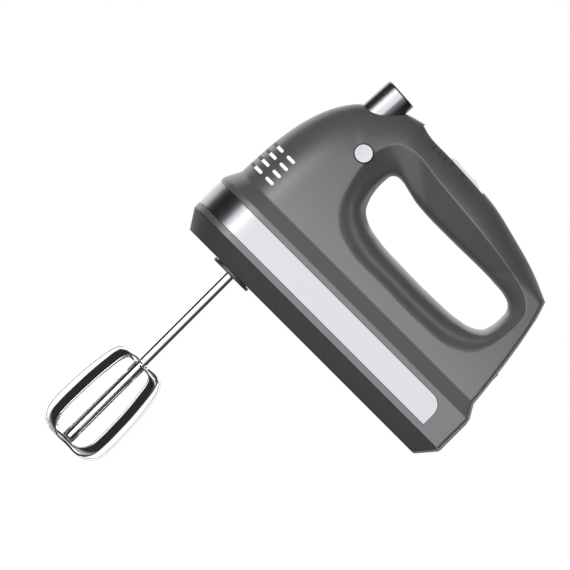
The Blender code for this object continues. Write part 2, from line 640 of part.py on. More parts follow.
def make_rotor(stance):
    axis = (0.0, 0.0, MOTOR_Z)
    centre = (0.0, MOTOR_Z)
    bore = SHAFT_RADIUS + GAP
    add_piece("rotor_shaft", rotor_shaft_solid(), "spring_steel", stance, axis)
    slots = []
    for i in range(12):
        middle = 2 * math.pi * i / 12
        slots += [(radius * math.cos(middle + angle), MOTOR_Z + radius * math.sin(middle + angle))
                  for radius, angle in ((14.0, -0.12), (16.5, -0.2), (16.5, 0.2), (14.0, 0.12))]
    add_piece("armature_core", prism(slots, 77, 103, "x", [circle(5.5, 16, centre)]), "laminated_iron",
              stance, axis)
    coils = [(bore, 68.5), (10.0, 68.5), (13.5, 71.5), (13.5, 76.6), (5.2, 76.6), (5.2, 103.4), (13.5, 103.4),
             (13.5, 108.0), (10.0, 111.5), (bore, 111.5)]
    add_piece("armature_windings", turned(coils, centre, "x", 16), "copper_wire", stance, axis, smooth=True)
    add_piece("commutator", tube_ring(bore, 9.0, 113, 126, centre, "x", 16), "copper_wire", stance, axis)
    fan = add_piece("cooling_fan", tube_ring(bore, 21.0, 58.5, 60.5, centre, "x", 24), "white_nylon", stance,
                    axis)
    cut(fan, "fan_blades", prism(fan_outline(6.0, 20.5, 7, 0.035), 60.0, 67.0, "x",
                                 [circle(bore, 16, centre)]), stance, "UNION")


def make_motor(stance):
    centre = (0.0, MOTOR_Z)
    arc = [(17.2 * math.cos(a), MOTOR_Z + 17.2 * math.sin(a))
           for a in np.radians(np.linspace(35, -35, 8))]
    mirrored = [(-y, 2 * MOTOR_Z - z) for y, z in arc]
    window = [(-24, MOTOR_Z + 18), (24, MOTOR_Z + 18), (24, MOTOR_Z + 9.9)] + arc \
        + [(24, MOTOR_Z - 9.9), (24, MOTOR_Z - 18), (-24, MOTOR_Z - 18), (-24, MOTOR_Z - 9.9)] + mirrored \
        + [(-24, MOTOR_Z + 9.9)]
    frame = [(-29, 11), (29, 11), (29, 57), (-29, 57)]
    add_piece("motor_stator", prism(frame, 77, 103, "x", [window]), "laminated_iron", stance)
    for side, name in ((-1, "left"), (1, "right")):
        coil = [(72, 17.6), (108, 17.6), (108, 50.4), (72, 50.4)]
        hole = [(76.4, 23.8), (103.6, 23.8), (103.6, 44.2), (76.4, 44.2)]
        near, far = sorted((side * 18.6, side * 23.6))
        add_piece(f"{name}_field_coil", prism(coil, near, far, "y", [hole]), "copper_wire", stance)
        near, far = sorted((side * 10.4, side * 23.0))
        sleeve = [(114.5, 29.5), (124.5, 29.5), (124.5, 38.5), (114.5, 38.5)]
        channel = [(116.2, 31.2), (122.8, 31.2), (122.8, 36.8), (116.2, 36.8)]
        add_piece(f"{name}_brush_holder", prism(sleeve, near, far, "y", [channel]), "bronze", stance)
        near, far = sorted((side * 9.3, side * 20.0))
        add_piece(f"{name}_carbon_brush", block(116.5, 122.5, near, far, 31.5, 36.5), "carbon", stance)
    for name, low in (("front_bearing", 13.6), ("middle_bearing", 53.0), ("rear_bearing", 130.0)):
        add_piece(name, tube_ring(SHAFT_RADIUS + GAP, 5.2, low, low + 4.4, centre, "x", 16), "bronze", stance,
                  smooth=True)
    tray = [(60, 5.5), (134, 5.5), (134, 52), (130.4, 52), (130.4, 8), (60, 8)]
    chassis = add_piece("motor_chassis", prism(tray, -16, 16, "y"), "black_plastic", stance)
    cut(chassis, "rear_bearing_seat", rod(5.5, 126, 138, centre, "x"), stance)


def make_gearbox(stance):
    walls = [(13.8, 4.6), (17.8, 4.6), (17.8, 13), (53.2, 13), (53.2, 4.6), (57.2, 4.6), (57.2, 44.6),
             (53.2, 44.6), (53.2, 16), (17.8, 16), (17.8, 44.6), (13.8, 44.6)]
    frame = add_piece("gearbox_frame", prism(walls, -24, 24, "y"), "black_plastic", stance)
    cut(frame, "shaft_seats", rod(5.5, 10, 60, (0.0, MOTOR_Z), "x"), stance)
    cover = block(13.8, 57.2, -26, 26, 45.0, 47.4)
    lid = add_piece("gearbox_cover", cover, "black_plastic", stance)
    for side, name in ((-1, "left"), (1, "right")):
        centre = (SPINDLE_X, side * SPINDLE_Y)
        cut(frame, f"{name}_bush_seat", rod(9.1, 12, 17, centre, steps=18), stance)
        cut(lid, f"{name}_eject_opening", rod(5.4, 44, 48, centre, steps=18), stance)
        bush = [(6.3, 11.0), (8.8, 11.0), (8.8, 16.3), (10.2, 16.3), (10.2, 18.6), (6.3, 18.6)]
        add_piece(f"{name}_spindle_bush", turned(bush, centre, steps=18), "bronze", stance, smooth=True)


def make_spindles_and_beaters(stance):
    for side, name, phase in ((-1, "left", LEFT_PHASE), (1, "right", RIGHT_PHASE)):
        centre = (SPINDLE_X, side * SPINDLE_Y)
        origin = (*centre, 0.0)
        add_piece(f"{name}_spindle",
                  tube_ring(SPINDLE_BORE, SPINDLE_RADIUS, SPINDLE_LOW, SPINDLE_TOP, centre, steps=18),
                  "spring_steel", stance, origin, smooth=True)
        add_piece(f"{name}_gear", gear_solid(side), "white_nylon", stance, origin)
        shaft = [(0, BEATER_SHAFT_END), (2.2, BEATER_SHAFT_END), (3.0, BEATER_SHAFT_END + 0.8),
                 (3.0, BEATER_TOP - 1.2), (1.8, BEATER_TOP), (0, BEATER_TOP)]
        add_piece(f"{name}_beater_shaft", turned(shaft, centre, steps=14), "polished_steel", stance, origin,
                  smooth=True)
        for loop, turn, step in (("outer", 0.0, 0.0), ("inner", 90.0, BLADE_STEP)):
            add_piece(f"{name}_beater_{loop}_loop", blade_solid(centre, phase + turn, step),
                      "polished_steel", stance, origin, smooth=True)


def blade_solid(centre, degrees, step):
    """A flat strip bent into a loop: from the shaft out, down, under the shaft's end and back up."""
    half = [(BEATER_SHAFT_RADIUS + 0.4, BLADE_PATH[0][1])] + BLADE_PATH
    half = [(r, z + (-step if z > -100 else step * max(0.0, (-z - 100) / 43))) for r, z in half]
    half.append((0.0, half[-1][1]))
    curve = even_steps(fair_curve(half, 6), 17)
    outline = np.vstack([curve, curve[-2::-1] * (-1, 1)])
    along = np.gradient(outline, axis=0)
    along /= np.linalg.norm(along, axis=1)[:, None]
    normal = np.column_stack([along[:, 1], -along[:, 0]])
    angle = math.radians(degrees)
    out, across = Vector((math.cos(angle), math.sin(angle), 0)), Vector((-math.sin(angle), math.cos(angle), 0))
    path, section = [], []
    for (r, z), (nr, nz) in zip(outline.tolist(), normal.tolist()):
        path.append(Vector((centre[0], centre[1], z)) + r * out)
        lift = (nr * out + Vector((0, 0, nz))) * BLADE_THICK / 2
        side = across * BLADE_WIDTH / 2
        section.append([lift - side, lift + side, -lift + side, -lift - side])
    return swept(path, section)


# ---------------------------------------------------------------------------- controls

def make_ejector(stance):
    """The button, its yoke, guide and spring; all lean with the button's axis."""
    centre, leaning = (EJECT_X, 0.0), {"origin": (EJECT_X, 0.0, EJECT_TOP), "lean": EJECT_LEAN}
    yoke_shift = (EJECT_TOP - 54.0) * math.tan(EJECT_LEAN)
    cap = [(8.8, EJECT_LOW), (EJECT_RADIUS, EJECT_LOW), (EJECT_RADIUS, EJECT_TOP - 0.8),
           (EJECT_RADIUS - 0.8, EJECT_TOP), (0, EJECT_TOP), (0, EJECT_TOP - 3.5), (8.8, EJECT_TOP - 3.5)]
    add_piece("eject_button", turned(cap, centre, steps=28), "silver_trim", stance, smooth=True, **leaning)
    yoke = add_piece("eject_yoke", rod(3.5, 57.0, EJECT_TOP - 3.8, centre, steps=16), "white_nylon", stance,
                     **leaning)
    bridge = block(27.0, SPINDLE_X + yoke_shift + 5, -23.0, 23.0, 55.5, 58.5)
    cut(yoke, "yoke_bridge", bridge, stance, "UNION", **leaning)
    for side in (-1, 1):
        prong = rod(4.2, 50.8, 56.0, (SPINDLE_X + yoke_shift, side * SPINDLE_Y), steps=16)
        cut(yoke, f"yoke_prong_{side}", prong, stance, "UNION", **leaning)
    guide = prism([(18, -13), (44, -13), (44, 13), (18, 13)], 92, 94.6, "z", [circle(4.1, 20, centre)])
    add_piece("eject_guide", guide, "black_plastic", stance, **leaning)
    turns, steps = 7, 10
    coil = []
    for i in range(turns * steps + 1):
        angle = 2 * math.pi * i / steps
        height = 95.8 + (EJECT_TOP - 4.8 - 95.8) * i / (turns * steps)
        coil.append((EJECT_X + 6.2 * math.cos(angle), 6.2 * math.sin(angle), height))
    add_piece("eject_spring", wire(coil, 0.7, 4), "spring_steel", stance, **leaning)


def make_speed_slider(stance):
    origin = (KNOB_REAR, 0.0, TRACK_FLOOR)
    side_view = [(KNOB_FRONT, 137.8), (KNOB_REAR, 137.8), (KNOB_REAR - 0.4, 139.4), (KNOB_REAR - 4.6, 141.8),
                 (KNOB_FRONT + 3.6, 142.9), (KNOB_FRONT + 0.4, 141.4)]
    knob = add_piece("speed_knob", prism(side_view, -KNOB_HALF, KNOB_HALF, "y"), "silver_trim", stance, origin)
    cut(knob, "knob_stem", block(88, 97, -2, 2, 130.4, 138.6), stance, "UNION")
    add_piece("slider_carrier", block(84, 101, -6, 6, 127.0, 130.1), "white_nylon", stance, origin)
    slot = [(62.5, -2.4), (99.2, -2.4), (99.2, 2.4), (62.5, 2.4)]
    tray = [(TRACK_FRONT, -TRACK_HALF), (TRACK_REAR, -TRACK_HALF), (TRACK_REAR, TRACK_HALF),
            (TRACK_FRONT, TRACK_HALF)]
    add_piece("speed_track", prism(tray, TRACK_FLOOR - 2.0, TRACK_FLOOR, "z", [slot]), "dark_plastic", stance)
    add_piece("speed_switch", block(60, 103, -6, 6, 117.5, 126.6), "black_plastic", stance)


def make_boost_button(stance):
    origin = (BOOST_X, BOOST_FACE, BOOST_Z)
    cap = [(0, BOOST_FACE), (BOOST_RADIUS - 0.7, BOOST_FACE), (BOOST_RADIUS, BOOST_FACE + 0.7),
           (BOOST_RADIUS, BOOST_INNER - 2.5), (3.0, BOOST_INNER - 2.5), (3.0, BOOST_INNER), (0, BOOST_INNER)]
    add_piece("boost_button", turned(cap, (BOOST_X, BOOST_Z), "y", 24), "silver_trim", stance, origin,
              smooth=True)
    add_piece("boost_switch", block(35, 46, -18.0, -11.4, 101, 111.4), "black_plastic", stance)


def make_electrics(stance):
    add_piece("speed_board", block(111, 157, -7, 7, 113.0, 114.2), "board_green", stance)
    add_piece("suppression_capacitor", block(117, 133, -5.5, 5.5, 114.5, 124), "capacitor_yellow", stance)
    add_piece("triac_heatsink", block(139, 151, -5, 5, 114.5, 121.5), "laminated_iron", stance)
    supply = [(184.0, 0.0, 64.0), (179.0, 0.0, 70.0), (177.0, 0.0, 82.0), (176.5, 0.0, 96.0),
              (173.5, 0.0, 107.0), (167.0, 0.0, 112.0), (160.6, 0.0, 113.4)]
    motor = [(153.0, 6.0, 116.0), (163.0, 6.0, 116.0), (173.0, 6.0, 111.0), (180.0, 6.0, 99.0),
             (181.0, 6.0, 82.0), (173.0, 6.0, 66.0), (150.0, 8.0, 58.0), (137.0, 14.0, 48.0),
             (128.0, 20.6, 40.0)]
    for name, route, material in (("supply_leads", supply, "wire_blue"), ("motor_leads", motor, "wire_blue")):
        flat = np.array(route)
        run = np.linspace(0, 1, len(flat))
        marks = np.linspace(0, 1, 16)
        side = fair_curve(flat[:, [0, 2]], 6)
        side = even_steps(side, 15)
        level = np.interp(marks, run, flat[:, 1])
        add_piece(name, wire([(x, y, z) for (x, z), y in zip(side, level)], 1.1, 5), material, stance,
                  smooth=True)


def make_housing_screws(stance):
    for i, (x, z) in enumerate(HOUSING_SCREWS, 1):
        head = float(half_width(np.array([[x, z]]))[0]) - 1.2
        screw = [(0, head), (3.1, head), (3.1, head - 2.4), (1.6, head - 2.6), (1.6, 1.0), (0, 0.4)]
        add_piece(f"housing_screw_{i}", turned(screw, (x, z), "y", 8), "spring_steel", stance, smooth=True)


def stand_on_heel(stance):
    """Turns the mixer onto its heel and puts its box's bottom centre at the origin."""
    low, high = Vector(HEEL_LOW), Vector(HEEL_HIGH)
    lean = math.atan2(low.x - high.x, high.y - low.y)
    stance.rotation_euler = (0.0, math.pi / 2 + lean, 0.0)
    bpy.context.view_layer.update()
    graph = bpy.context.evaluated_depsgraph_get()
    corners = []
    for piece in bpy.data.objects:
        if piece.type == "MESH" and not piece.hide_render:
            solid = piece.evaluated_get(graph)
            corners += [solid.matrix_world @ vertex.co for vertex in solid.data.vertices]
    box_low = Vector([min(corner[i] for corner in corners) for i in range(3)])
    box_high = Vector([max(corner[i] for corner in corners) for i in range(3)])
    middle = (box_low + box_high) / 2
    stance.location = (-middle.x, -middle.y, -box_low.z)


def main():
    for old in list(bpy.data.objects):
        bpy.data.objects.remove(old, do_unlink=True)
    make_materials()
    stance = bpy.data.objects.new("stance", None)
    bpy.context.scene.collection.objects.link(stance)
    make_housing(stance)
    make_gearbox(stance)
    make_rotor(stance)
    make_motor(stance)
    make_spindles_and_beaters(stance)
    make_ejector(stance)
    make_speed_slider(stance)
    make_boost_button(stance)
    make_electrics(stance)
    make_housing_screws(stance)
    stand_on_heel(stance)


main()
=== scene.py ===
"""Hand mixer: its visible surfaces, materials, light and camera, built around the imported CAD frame.

Shapes are given in design millimetres, as the mixer is held for use: X runs from the nose to the heel,
Y to the mixer's right, Z up, with zero on the mid-plane at the underside of the base.  DESIGN, worked
out from the drive's joints, carries them into the frame's metres.
"""
import json
import math

import bmesh
import bpy
import numpy as np
from mathutils import Matrix, Vector
from mathutils.geometry import tessellate_polygon


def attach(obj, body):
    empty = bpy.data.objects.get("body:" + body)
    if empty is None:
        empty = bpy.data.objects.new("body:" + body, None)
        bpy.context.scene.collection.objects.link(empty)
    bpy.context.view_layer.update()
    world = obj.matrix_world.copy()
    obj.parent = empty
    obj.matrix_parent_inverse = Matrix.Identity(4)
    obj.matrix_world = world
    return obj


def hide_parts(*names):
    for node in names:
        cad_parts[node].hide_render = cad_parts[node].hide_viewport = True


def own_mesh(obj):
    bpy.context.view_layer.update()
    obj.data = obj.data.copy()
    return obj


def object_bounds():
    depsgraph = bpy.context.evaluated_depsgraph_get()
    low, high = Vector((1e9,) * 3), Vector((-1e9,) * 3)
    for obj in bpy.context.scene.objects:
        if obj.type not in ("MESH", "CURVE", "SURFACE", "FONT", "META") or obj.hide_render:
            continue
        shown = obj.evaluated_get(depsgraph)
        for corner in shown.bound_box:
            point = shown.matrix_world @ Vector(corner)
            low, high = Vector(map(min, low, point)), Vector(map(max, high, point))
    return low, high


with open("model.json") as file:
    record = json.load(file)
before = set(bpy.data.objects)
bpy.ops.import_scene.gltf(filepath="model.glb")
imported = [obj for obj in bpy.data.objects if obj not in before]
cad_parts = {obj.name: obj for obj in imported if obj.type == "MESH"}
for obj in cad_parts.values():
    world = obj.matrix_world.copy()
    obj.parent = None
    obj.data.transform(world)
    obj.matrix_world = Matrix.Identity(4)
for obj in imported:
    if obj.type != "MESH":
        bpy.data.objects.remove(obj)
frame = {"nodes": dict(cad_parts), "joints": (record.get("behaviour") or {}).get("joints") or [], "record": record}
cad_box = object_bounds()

MM = 0.001

# Housing, as in the CAD
WALL, SEAM, GAP, FINE_GAP = 2.5, 0.15, 0.3, 0.2
FLOOR_NOSE, FLOOR_THICK, LIP_HEIGHT, LIP_THICK = 30.0, 3.0, 2.2, 1.3
BODY_FRONT, BODY_REAR, BODY_HALF = -3.6, 193.2, 38.5
SKIRT_FRONT, SKIRT_REAR, SKIRT_HALF = -8.7, 198.9, 43.5
FLOOR_FRONT, FLOOR_REAR, FLOOR_HALF = -1.2, 189.0, 36.0
LEDGE_TOP, LEDGE_LOW, COVER_TOP = 46.8, 37.2, 12.0
TAPER, TAPER_POWER, TAPER_HEIGHT = 24.0, 1.3, 98.2
BODY_NOSE, BODY_CORNER = 32.0, 2.8
SKIRT_NOSE, SKIRT_CORNER = 35.0, 3.2
NOSE_POWER, CORNER_POWER = 2.1, 3.2
TOP_ROUND = 17.0
FRONT_EDGE = [(-3.6, 46.8), (-3.0, 60.0), (-1.8, 75.6), (0.6, 90.0), (4.8, 104.4), (9.9, 115.2),
              (17.7, 125.4), (29.0, 133.4), (41.7, 141.0), (54.0, 144.6)]
TOP_EDGE = [(54.0, 144.6), (60.0, 142.9), (78.0, 142.0), (98.0, 141.0), (116.4, 139.6), (140.4, 134.1),
            (163.0, 127.5), (180.6, 120.0)]
REAR_EDGE = [(180.6, 120.0), (183.3, 111.6), (186.0, 100.8), (187.8, 90.0), (190.5, 72.0),
             (192.4, 56.0), (193.2, 46.8)]
GRIP_OPENING = [(64.0, 110.2), (69.0, 110.7), (75.0, 109.4), (83.0, 107.6), (92.0, 106.8), (115.0, 106.5),
                (150.0, 106.5), (159.6, 105.6), (165.2, 103.4), (167.9, 99.5), (168.3, 95.0), (167.7, 88.0),
                (165.6, 82.0), (160.0, 78.0), (150.0, 75.6), (130.0, 74.4), (105.0, 74.5), (85.0, 75.6),
                (72.0, 78.6), (65.7, 82.8), (62.6, 89.0), (61.0, 97.0), (61.0, 104.0), (61.8, 108.2)]
FLARE_RIDGE = [(47.8, 120.0), (52.7, 126.0), (60.3, 128.4), (83.0, 126.4), (118.5, 123.2), (145.0, 120.1),
               (162.5, 116.5), (171.4, 112.6), (176.6, 107.0), (178.0, 100.0), (177.6, 90.0), (176.4, 79.5),
               (171.4, 68.3), (160.8, 61.2), (136.0, 58.0), (105.0, 58.2), (74.4, 59.4), (62.0, 64.0),
               (52.5, 74.0), (47.5, 88.0), (45.0, 102.0), (45.2, 113.0)]
GRIP_CENTRE = (115.0, 91.0)
VENT_ROWS, VENT_HALF, NOSE_RIB = [54.6, 60.6, 66.6, 72.6], 1.05, 5.0
VENT_SPANS = [(-14.0, 5.7), (9.0, 15.3)]
BAND_LOW, BAND_HIGH, BAND_END, BAND_CORNER, BAND_THICK = 16.5, 33.6, 180.6, 8.5, 1.0
HEEL_LOW, HEEL_HIGH = (198.6, 36.0), (185.7, 100.8)
HOUSING_SCREWS = [(13.0, 84.0), (112.0, 129.0), (185.5, 53.0)]
BASE_SCREWS = [(10.0, -14.0), (10.0, 14.0), (178.0, -24.0), (178.0, 24.0)]

# Fineness and edge rounding of the housing's surface
FRONT_STEPS, TOP_STEPS, REAR_STEPS = 80, 86, 46
FOOT_STEPS = (36, 40, 14)           # nose, side and rear corner of the foot
LEDGE_FILLET, LEDGE_CORNER, RIDGE_ROUND, RIM_ROUND = 1.0, 0.9, 0.7, 0.25

# Drive and beaters
SPINDLE_X, SPINDLE_Y = 35.4, 19.0
BEATER_RADIUS, BEATER_TOP, BEATER_END = 3.0, 44.2, -139.2
BLADE_WIDTH, BLADE_THICK, BLADE_STEP = 7.8, 1.2, 1.8
BLADE_PATH = [(13.0, -77.0), (16.4, -78.2), (18.6, -82.0), (20.6, -91.0), (22.1, -103.0), (22.8, -116.0),
              (22.9, -127.0), (21.6, -135.5), (17.6, -140.6), (12.0, -142.8)]
LEFT_PHASE, RIGHT_PHASE = 45.0, 0.0

# Controls
EJECT_X, EJECT_RADIUS, EJECT_TOP, EJECT_LOW, EJECT_LEAN = 31.2, 10.7, 147.9, 112.0, math.radians(3.3)
COIL_LOW, COIL_RADIUS, COIL_WIRE = 95.8, 6.2, 0.7  # the spring's lowest turn, its radius, its wire's radius
KNOB_FRONT, KNOB_REAR, KNOB_HALF = 78.8, 105.8, 5.2
TRACK_FRONT, TRACK_REAR, TRACK_HALF = 54.6, 107.6, 5.6
CORD_Z = 64.0
BOOST_X, BOOST_Z, BOOST_RADIUS, BOOST_FACE, BOOST_INNER = 40.5, 106.2, 5.7, -27.8, -20.5
DIGITS, DIGIT_X, DIGIT_PITCH, DIGIT_Z, DIGIT_SIZE = "543210", 67.8, 4.8, 138.6, 4.2


def design_matrix():
    """Design millimetres to the frame's metres, from the motor's and the spindles' axes."""
    joints = {joint["name"]: joint for joint in frame["joints"]}
    along = Vector(joints["motor_spin"]["axis"]).normalized()
    up = Vector(joints["left_spindle_spin"]["axis"]).normalized()
    left, right = (Vector(joints[f"{name}_spindle_spin"]["pos_m"]) for name in ("left", "right"))
    middle = (left + right) / 2
    origin = middle - along * SPINDLE_X * MM
    across = up.cross(along)
    columns = Matrix((along * MM, across * MM, up * MM)).transposed().to_4x4()
    return Matrix.Translation(origin) @ columns, along, across, up


DESIGN, ALONG, ACROSS, UP = design_matrix()


# ---------------------------------------------------------------------------- curves and outlines

def fair_curve(points, per_span, closed=False):
    """A smooth curve through the given points, with per_span steps between neighbours."""
    pts = np.array(points, float)
    if closed:
        pts = np.vstack([pts[-1], pts, pts[0], pts[1]])
    else:
        pts = np.vstack([2 * pts[0] - pts[1], pts, 2 * pts[-1] - pts[-2]])
    gaps = np.linalg.norm(np.diff(pts, axis=0), axis=1)[:, None]
    slopes = np.diff(pts, axis=0) / gaps
    tangents = (slopes[:-1] * gaps[1:] + slopes[1:] * gaps[:-1]) / (gaps[:-1] + gaps[1:])
    curve = []
    for i in range(1, len(pts) - 2):
        t = np.linspace(0, 1, per_span, endpoint=False)[:, None]
        start, end, span = pts[i], pts[i + 1], gaps[i]
        curve.append((2 * t**3 - 3 * t**2 + 1) * start + (t**3 - 2 * t**2 + t) * span * tangents[i - 1]
                     + (3 * t**2 - 2 * t**3) * end + (t**3 - t**2) * span * tangents[i])
    curve = np.vstack(curve)
    return curve if closed else np.vstack([curve, pts[-2]])


def even_steps(curve, count):
    """The curve resampled to count equal steps."""
    run = np.concatenate([[0], np.cumsum(np.linalg.norm(np.diff(curve, axis=0), axis=1))])
    marks = np.linspace(0, run[-1], count + 1)
    return np.column_stack([np.interp(marks, run, curve[:, i]) for i in range(curve.shape[1])])


def offset_inward(curve, distance):
    """An open side outline moved towards the grip opening's side."""
    along = np.gradient(curve, axis=0)
    along /= np.linalg.norm(along, axis=1)[:, None]
    return curve + distance * np.column_stack([along[:, 1], -along[:, 0]])


def bend(start, corner, end, steps):
    """Rows along a rounded corner; each row is an array of points."""
    return [(1 - t)**2 * start + 2 * t * (1 - t) * corner + t**2 * end for t in np.linspace(0, 1, steps + 1)]


def toward(start, end, distance):
    """Points at a distance from start on the way to end, at most 45% of the way."""
    step = end - start
    length = np.maximum(np.linalg.norm(step, axis=1)[:, None], 1e-9)
    return start + step * np.minimum(distance / length, 0.45)


def polar_radius(loop, angles):
    """How far a closed side outline lies from the grip's centre, at the given angles."""
    rel = loop - np.array(GRIP_CENTRE)
    return np.interp(angles, np.arctan2(rel[:, 1], rel[:, 0]), np.hypot(rel[:, 0], rel[:, 1]),
                     period=2 * math.pi)


def plan_outline(front, rear, half, nose, corner, steps=FOOT_STEPS):
    """One side of a plan outline, from the middle of the nose to the middle of the heel."""
    nose_steps, side_steps, corner_steps = steps
    turn = np.radians(np.linspace(0, 90, nose_steps + 1))
    back = np.radians(np.linspace(90, 0, corner_steps + 1))
    nose_x = front + nose * (1 - np.cos(turn))
    nose_y = half * (1 - np.cos(turn)**NOSE_POWER)**(1 / NOSE_POWER)
    corner_x = rear - corner * (1 - np.cos(back))
    corner_y = half * (1 - np.cos(back)**CORNER_POWER)**(1 / CORNER_POWER)
    side_x = np.linspace(nose_x[-1], corner_x[0], side_steps + 1)[1:-1]
    side_y = np.full(side_steps - 1, float(half))
    return np.column_stack([np.concatenate([nose_x, side_x, corner_x]),
                            np.concatenate([nose_y, side_y, corner_y])])


def side_outline(foot):
    """The housing's side outline above a foot height, from the nose over the handle to the heel."""
    front = even_steps(fair_curve([(BODY_FRONT, foot)] + FRONT_EDGE[1:], 24), FRONT_STEPS)
    top = even_steps(fair_curve(TOP_EDGE, 24), TOP_STEPS)
    rear = even_steps(fair_curve(REAR_EDGE[:-1] + [(BODY_REAR, foot)], 24), REAR_STEPS)
    return np.vstack([front, top[1:], rear[1:]])


def half_width(points, inset=0.0):
    """Half the body's width at points of the side view, measured from the mid-plane."""
    outline = side_outline(LEDGE_TOP)
    drop = np.array([0.0, 80.0])
    outline = np.vstack([outline[0] - drop, outline, outline[-1] - drop])
    start, step = outline[:-1], np.diff(outline, axis=0)
    rel = points[:, None, :] - start[None]
    along = np.clip((rel * step).sum(2) / (step * step).sum(1), 0, 1)
    nearest = start[None] + along[..., None] * step[None]
    distance = np.linalg.norm(points[:, None, :] - nearest, axis=2)
    pick = distance.argmin(1)
    rows = np.arange(len(points))
    edge_x = nearest[rows, pick, 0]
    rounding = np.interp(edge_x, [15, 50, 160, 181], [BODY_NOSE, TOP_ROUND, TOP_ROUND - 2, BODY_CORNER])
    power = np.interp(edge_x, [160, 181], [NOSE_POWER, CORNER_POWER])
    depth = np.clip((distance[rows, pick] - inset) / np.maximum(rounding - inset, 0.5), 0, 1)
    rise = np.clip((points[:, 1] - LEDGE_TOP) / TAPER_HEIGHT, 0, 1)
    full = BODY_HALF - TAPER * rise**TAPER_POWER - inset
    return full * (1 - (1 - depth)**power)**(1 / power)


def flare_share(fraction, ridge_height):
    """Share of the ridge's width that the grip's flared wall reaches, from its edge to the ridge.

    Under the handle the wall rolls in from the edge and runs straight to the ridge.  Low down it is one
    round roll, with a shallow cove between the roll and the ridge.
    """
    low = np.interp(ridge_height, [78, 108], [1.0, 0.0])
    turn = np.clip(fraction / 0.25, 0, 1)
    handle = 0.42 * np.sqrt(1 - (1 - turn)**2) + 0.58 * fraction
    turn = np.clip(fraction / 0.64, 0, 1)
    rise = np.clip((fraction - 0.62) / 0.38, 0, 1)
    roll = 0.89 * np.sqrt(1 - (1 - turn)**2) + 0.11 * rise**2 * (3 - 2 * rise)
    return low * roll + (1 - low) * handle


# ---------------------------------------------------------------------------- solids as points, faces

def join(*solids):
    """Several solids as one list of points and faces."""
    points, faces = [], []
    for solid_points, solid_faces in solids:
        base = len(points)
        points += [tuple(p) for p in solid_points]
        faces += [[base + i for i in face] for face in solid_faces]
    return points, faces


def on_axis(axis, first, second, along):
    """A point from two coordinates across an axis and one along it."""
    return {"x": (along, first, second), "y": (first, along, second), "z": (first, second, along)}[axis]


def prism(outline, low, high, axis="z", holes=()):
    """An outline, with holes, extruded along an axis."""
    loops = [list(outline)] + [list(hole) for hole in holes]
    flat = [point for loop in loops for point in loop]
    count = len(flat)
    points = [on_axis(axis, a, b, low) for a, b in flat] + [on_axis(axis, a, b, high) for a, b in flat]
    triangles = tessellate_polygon([[Vector((a, b, 0)) for a, b in loop] for loop in loops])
    faces = [list(tri) for tri in triangles] + [[i + count for i in reversed(tri)] for tri in triangles]
    base = 0
    for loop in loops:
        n = len(loop)
        faces += [[base + i, base + (i + 1) % n, base + (i + 1) % n + count, base + i + count]
                  for i in range(n)]
        base += n
    return points, faces


def block(x0, x1, y0, y1, z0, z1):
    """A rectangular block."""
    return prism([(x0, y0), (x1, y0), (x1, y1), (x0, y1)], z0, z1)


def circle(radius, count, centre=(0.0, 0.0)):
    """Points of a circle."""
    return [(centre[0] + radius * math.cos(2 * math.pi * i / count),
             centre[1] + radius * math.sin(2 * math.pi * i / count)) for i in range(count)]


def turned(profile, centre, axis="z", steps=64):
    """A closed profile of (radius, height) turned about an axis; radius 0 lies on the axis."""
    points, rings = [], []
    for radius, height in profile:
        if radius == 0:
            rings.append([len(points)] * steps)
            points.append(on_axis(axis, centre[0], centre[1], height))
        else:
            rings.append(list(range(len(points), len(points) + steps)))
            points += [on_axis(axis, a, b, height) for a, b in circle(radius, steps, centre)]
    faces = []
    for low, high in zip(rings, rings[1:] + rings[:1]):
        for i in range(steps):
            corners = [low[i], low[(i + 1) % steps], high[(i + 1) % steps], high[i]]
            face = list(dict.fromkeys(corners))
            if len(face) > 2:
                faces.append(face)
    return points, faces


def rod(radius, low, high, centre, axis="z", steps=48):
    """A plain round bar, used as a cutter."""
    return turned([(0, low), (radius, low), (radius, high), (0, high)], centre, axis, steps)


def rounded(profile, radii, steps=4):
    """A closed profile of (radius, height) whose corners with a radius are rounded."""
    pts, out = [np.array(p, float) for p in profile], []
    for i, point in enumerate(pts):
        if not radii.get(i):
            out.append(tuple(point))
            continue
        before, after = pts[i - 1], pts[(i + 1) % len(pts)]
        start = point + (before - point) * min(0.49, radii[i] / np.linalg.norm(before - point))
        end = point + (after - point) * min(0.49, radii[i] / np.linalg.norm(after - point))
        out += [tuple((1 - t)**2 * start + 2 * t * (1 - t) * point + t**2 * end)
                for t in np.linspace(0, 1, steps + 1)]
    return out


def swept(path, section):
    """A closed section, as offsets along two directions at each path point, swept with flat ends."""
    count = len(section[0])
    points = [tuple(point + offset) for point, offsets in zip(path, section) for offset in offsets]
    faces = [list(range(count)), list(reversed(range(len(points) - count, len(points))))]
    for i in range(len(path) - 1):
        for j in range(count):
            k = (j + 1) % count
            faces.append([i * count + j, (i + 1) * count + j, (i + 1) * count + k, i * count + k])
    return points, faces


def leaned(solid):
    """A solid turned with the eject button's axis, about the middle of the button's top."""
    pivot = Vector((EJECT_X, 0.0, EJECT_TOP))
    turn = Matrix.Rotation(EJECT_LEAN, 3, "Y")
    points, faces = solid
    return [tuple(pivot + turn @ (Vector(p) - pivot)) for p in points], faces


# ---------------------------------------------------------------------------- objects

def shade(mesh, angle):
    """Smooth shading with sharp edges where faces meet at more than an angle in degrees."""
    mesh.shade_smooth()
    mesh.set_sharp_from_angle(angle=math.radians(angle))


def close_openings(mesh):
    """Fills the small open loops that a Boolean can leave."""
    shape = bmesh.new()
    shape.from_mesh(mesh)
    bmesh.ops.remove_doubles(shape, verts=shape.verts, dist=1e-7)
    open_edges = [edge for edge in shape.edges if len(edge.link_faces) == 1]
    bmesh.ops.holes_fill(shape, edges=open_edges, sides=0)
    shape.to_mesh(mesh)
    shape.free()


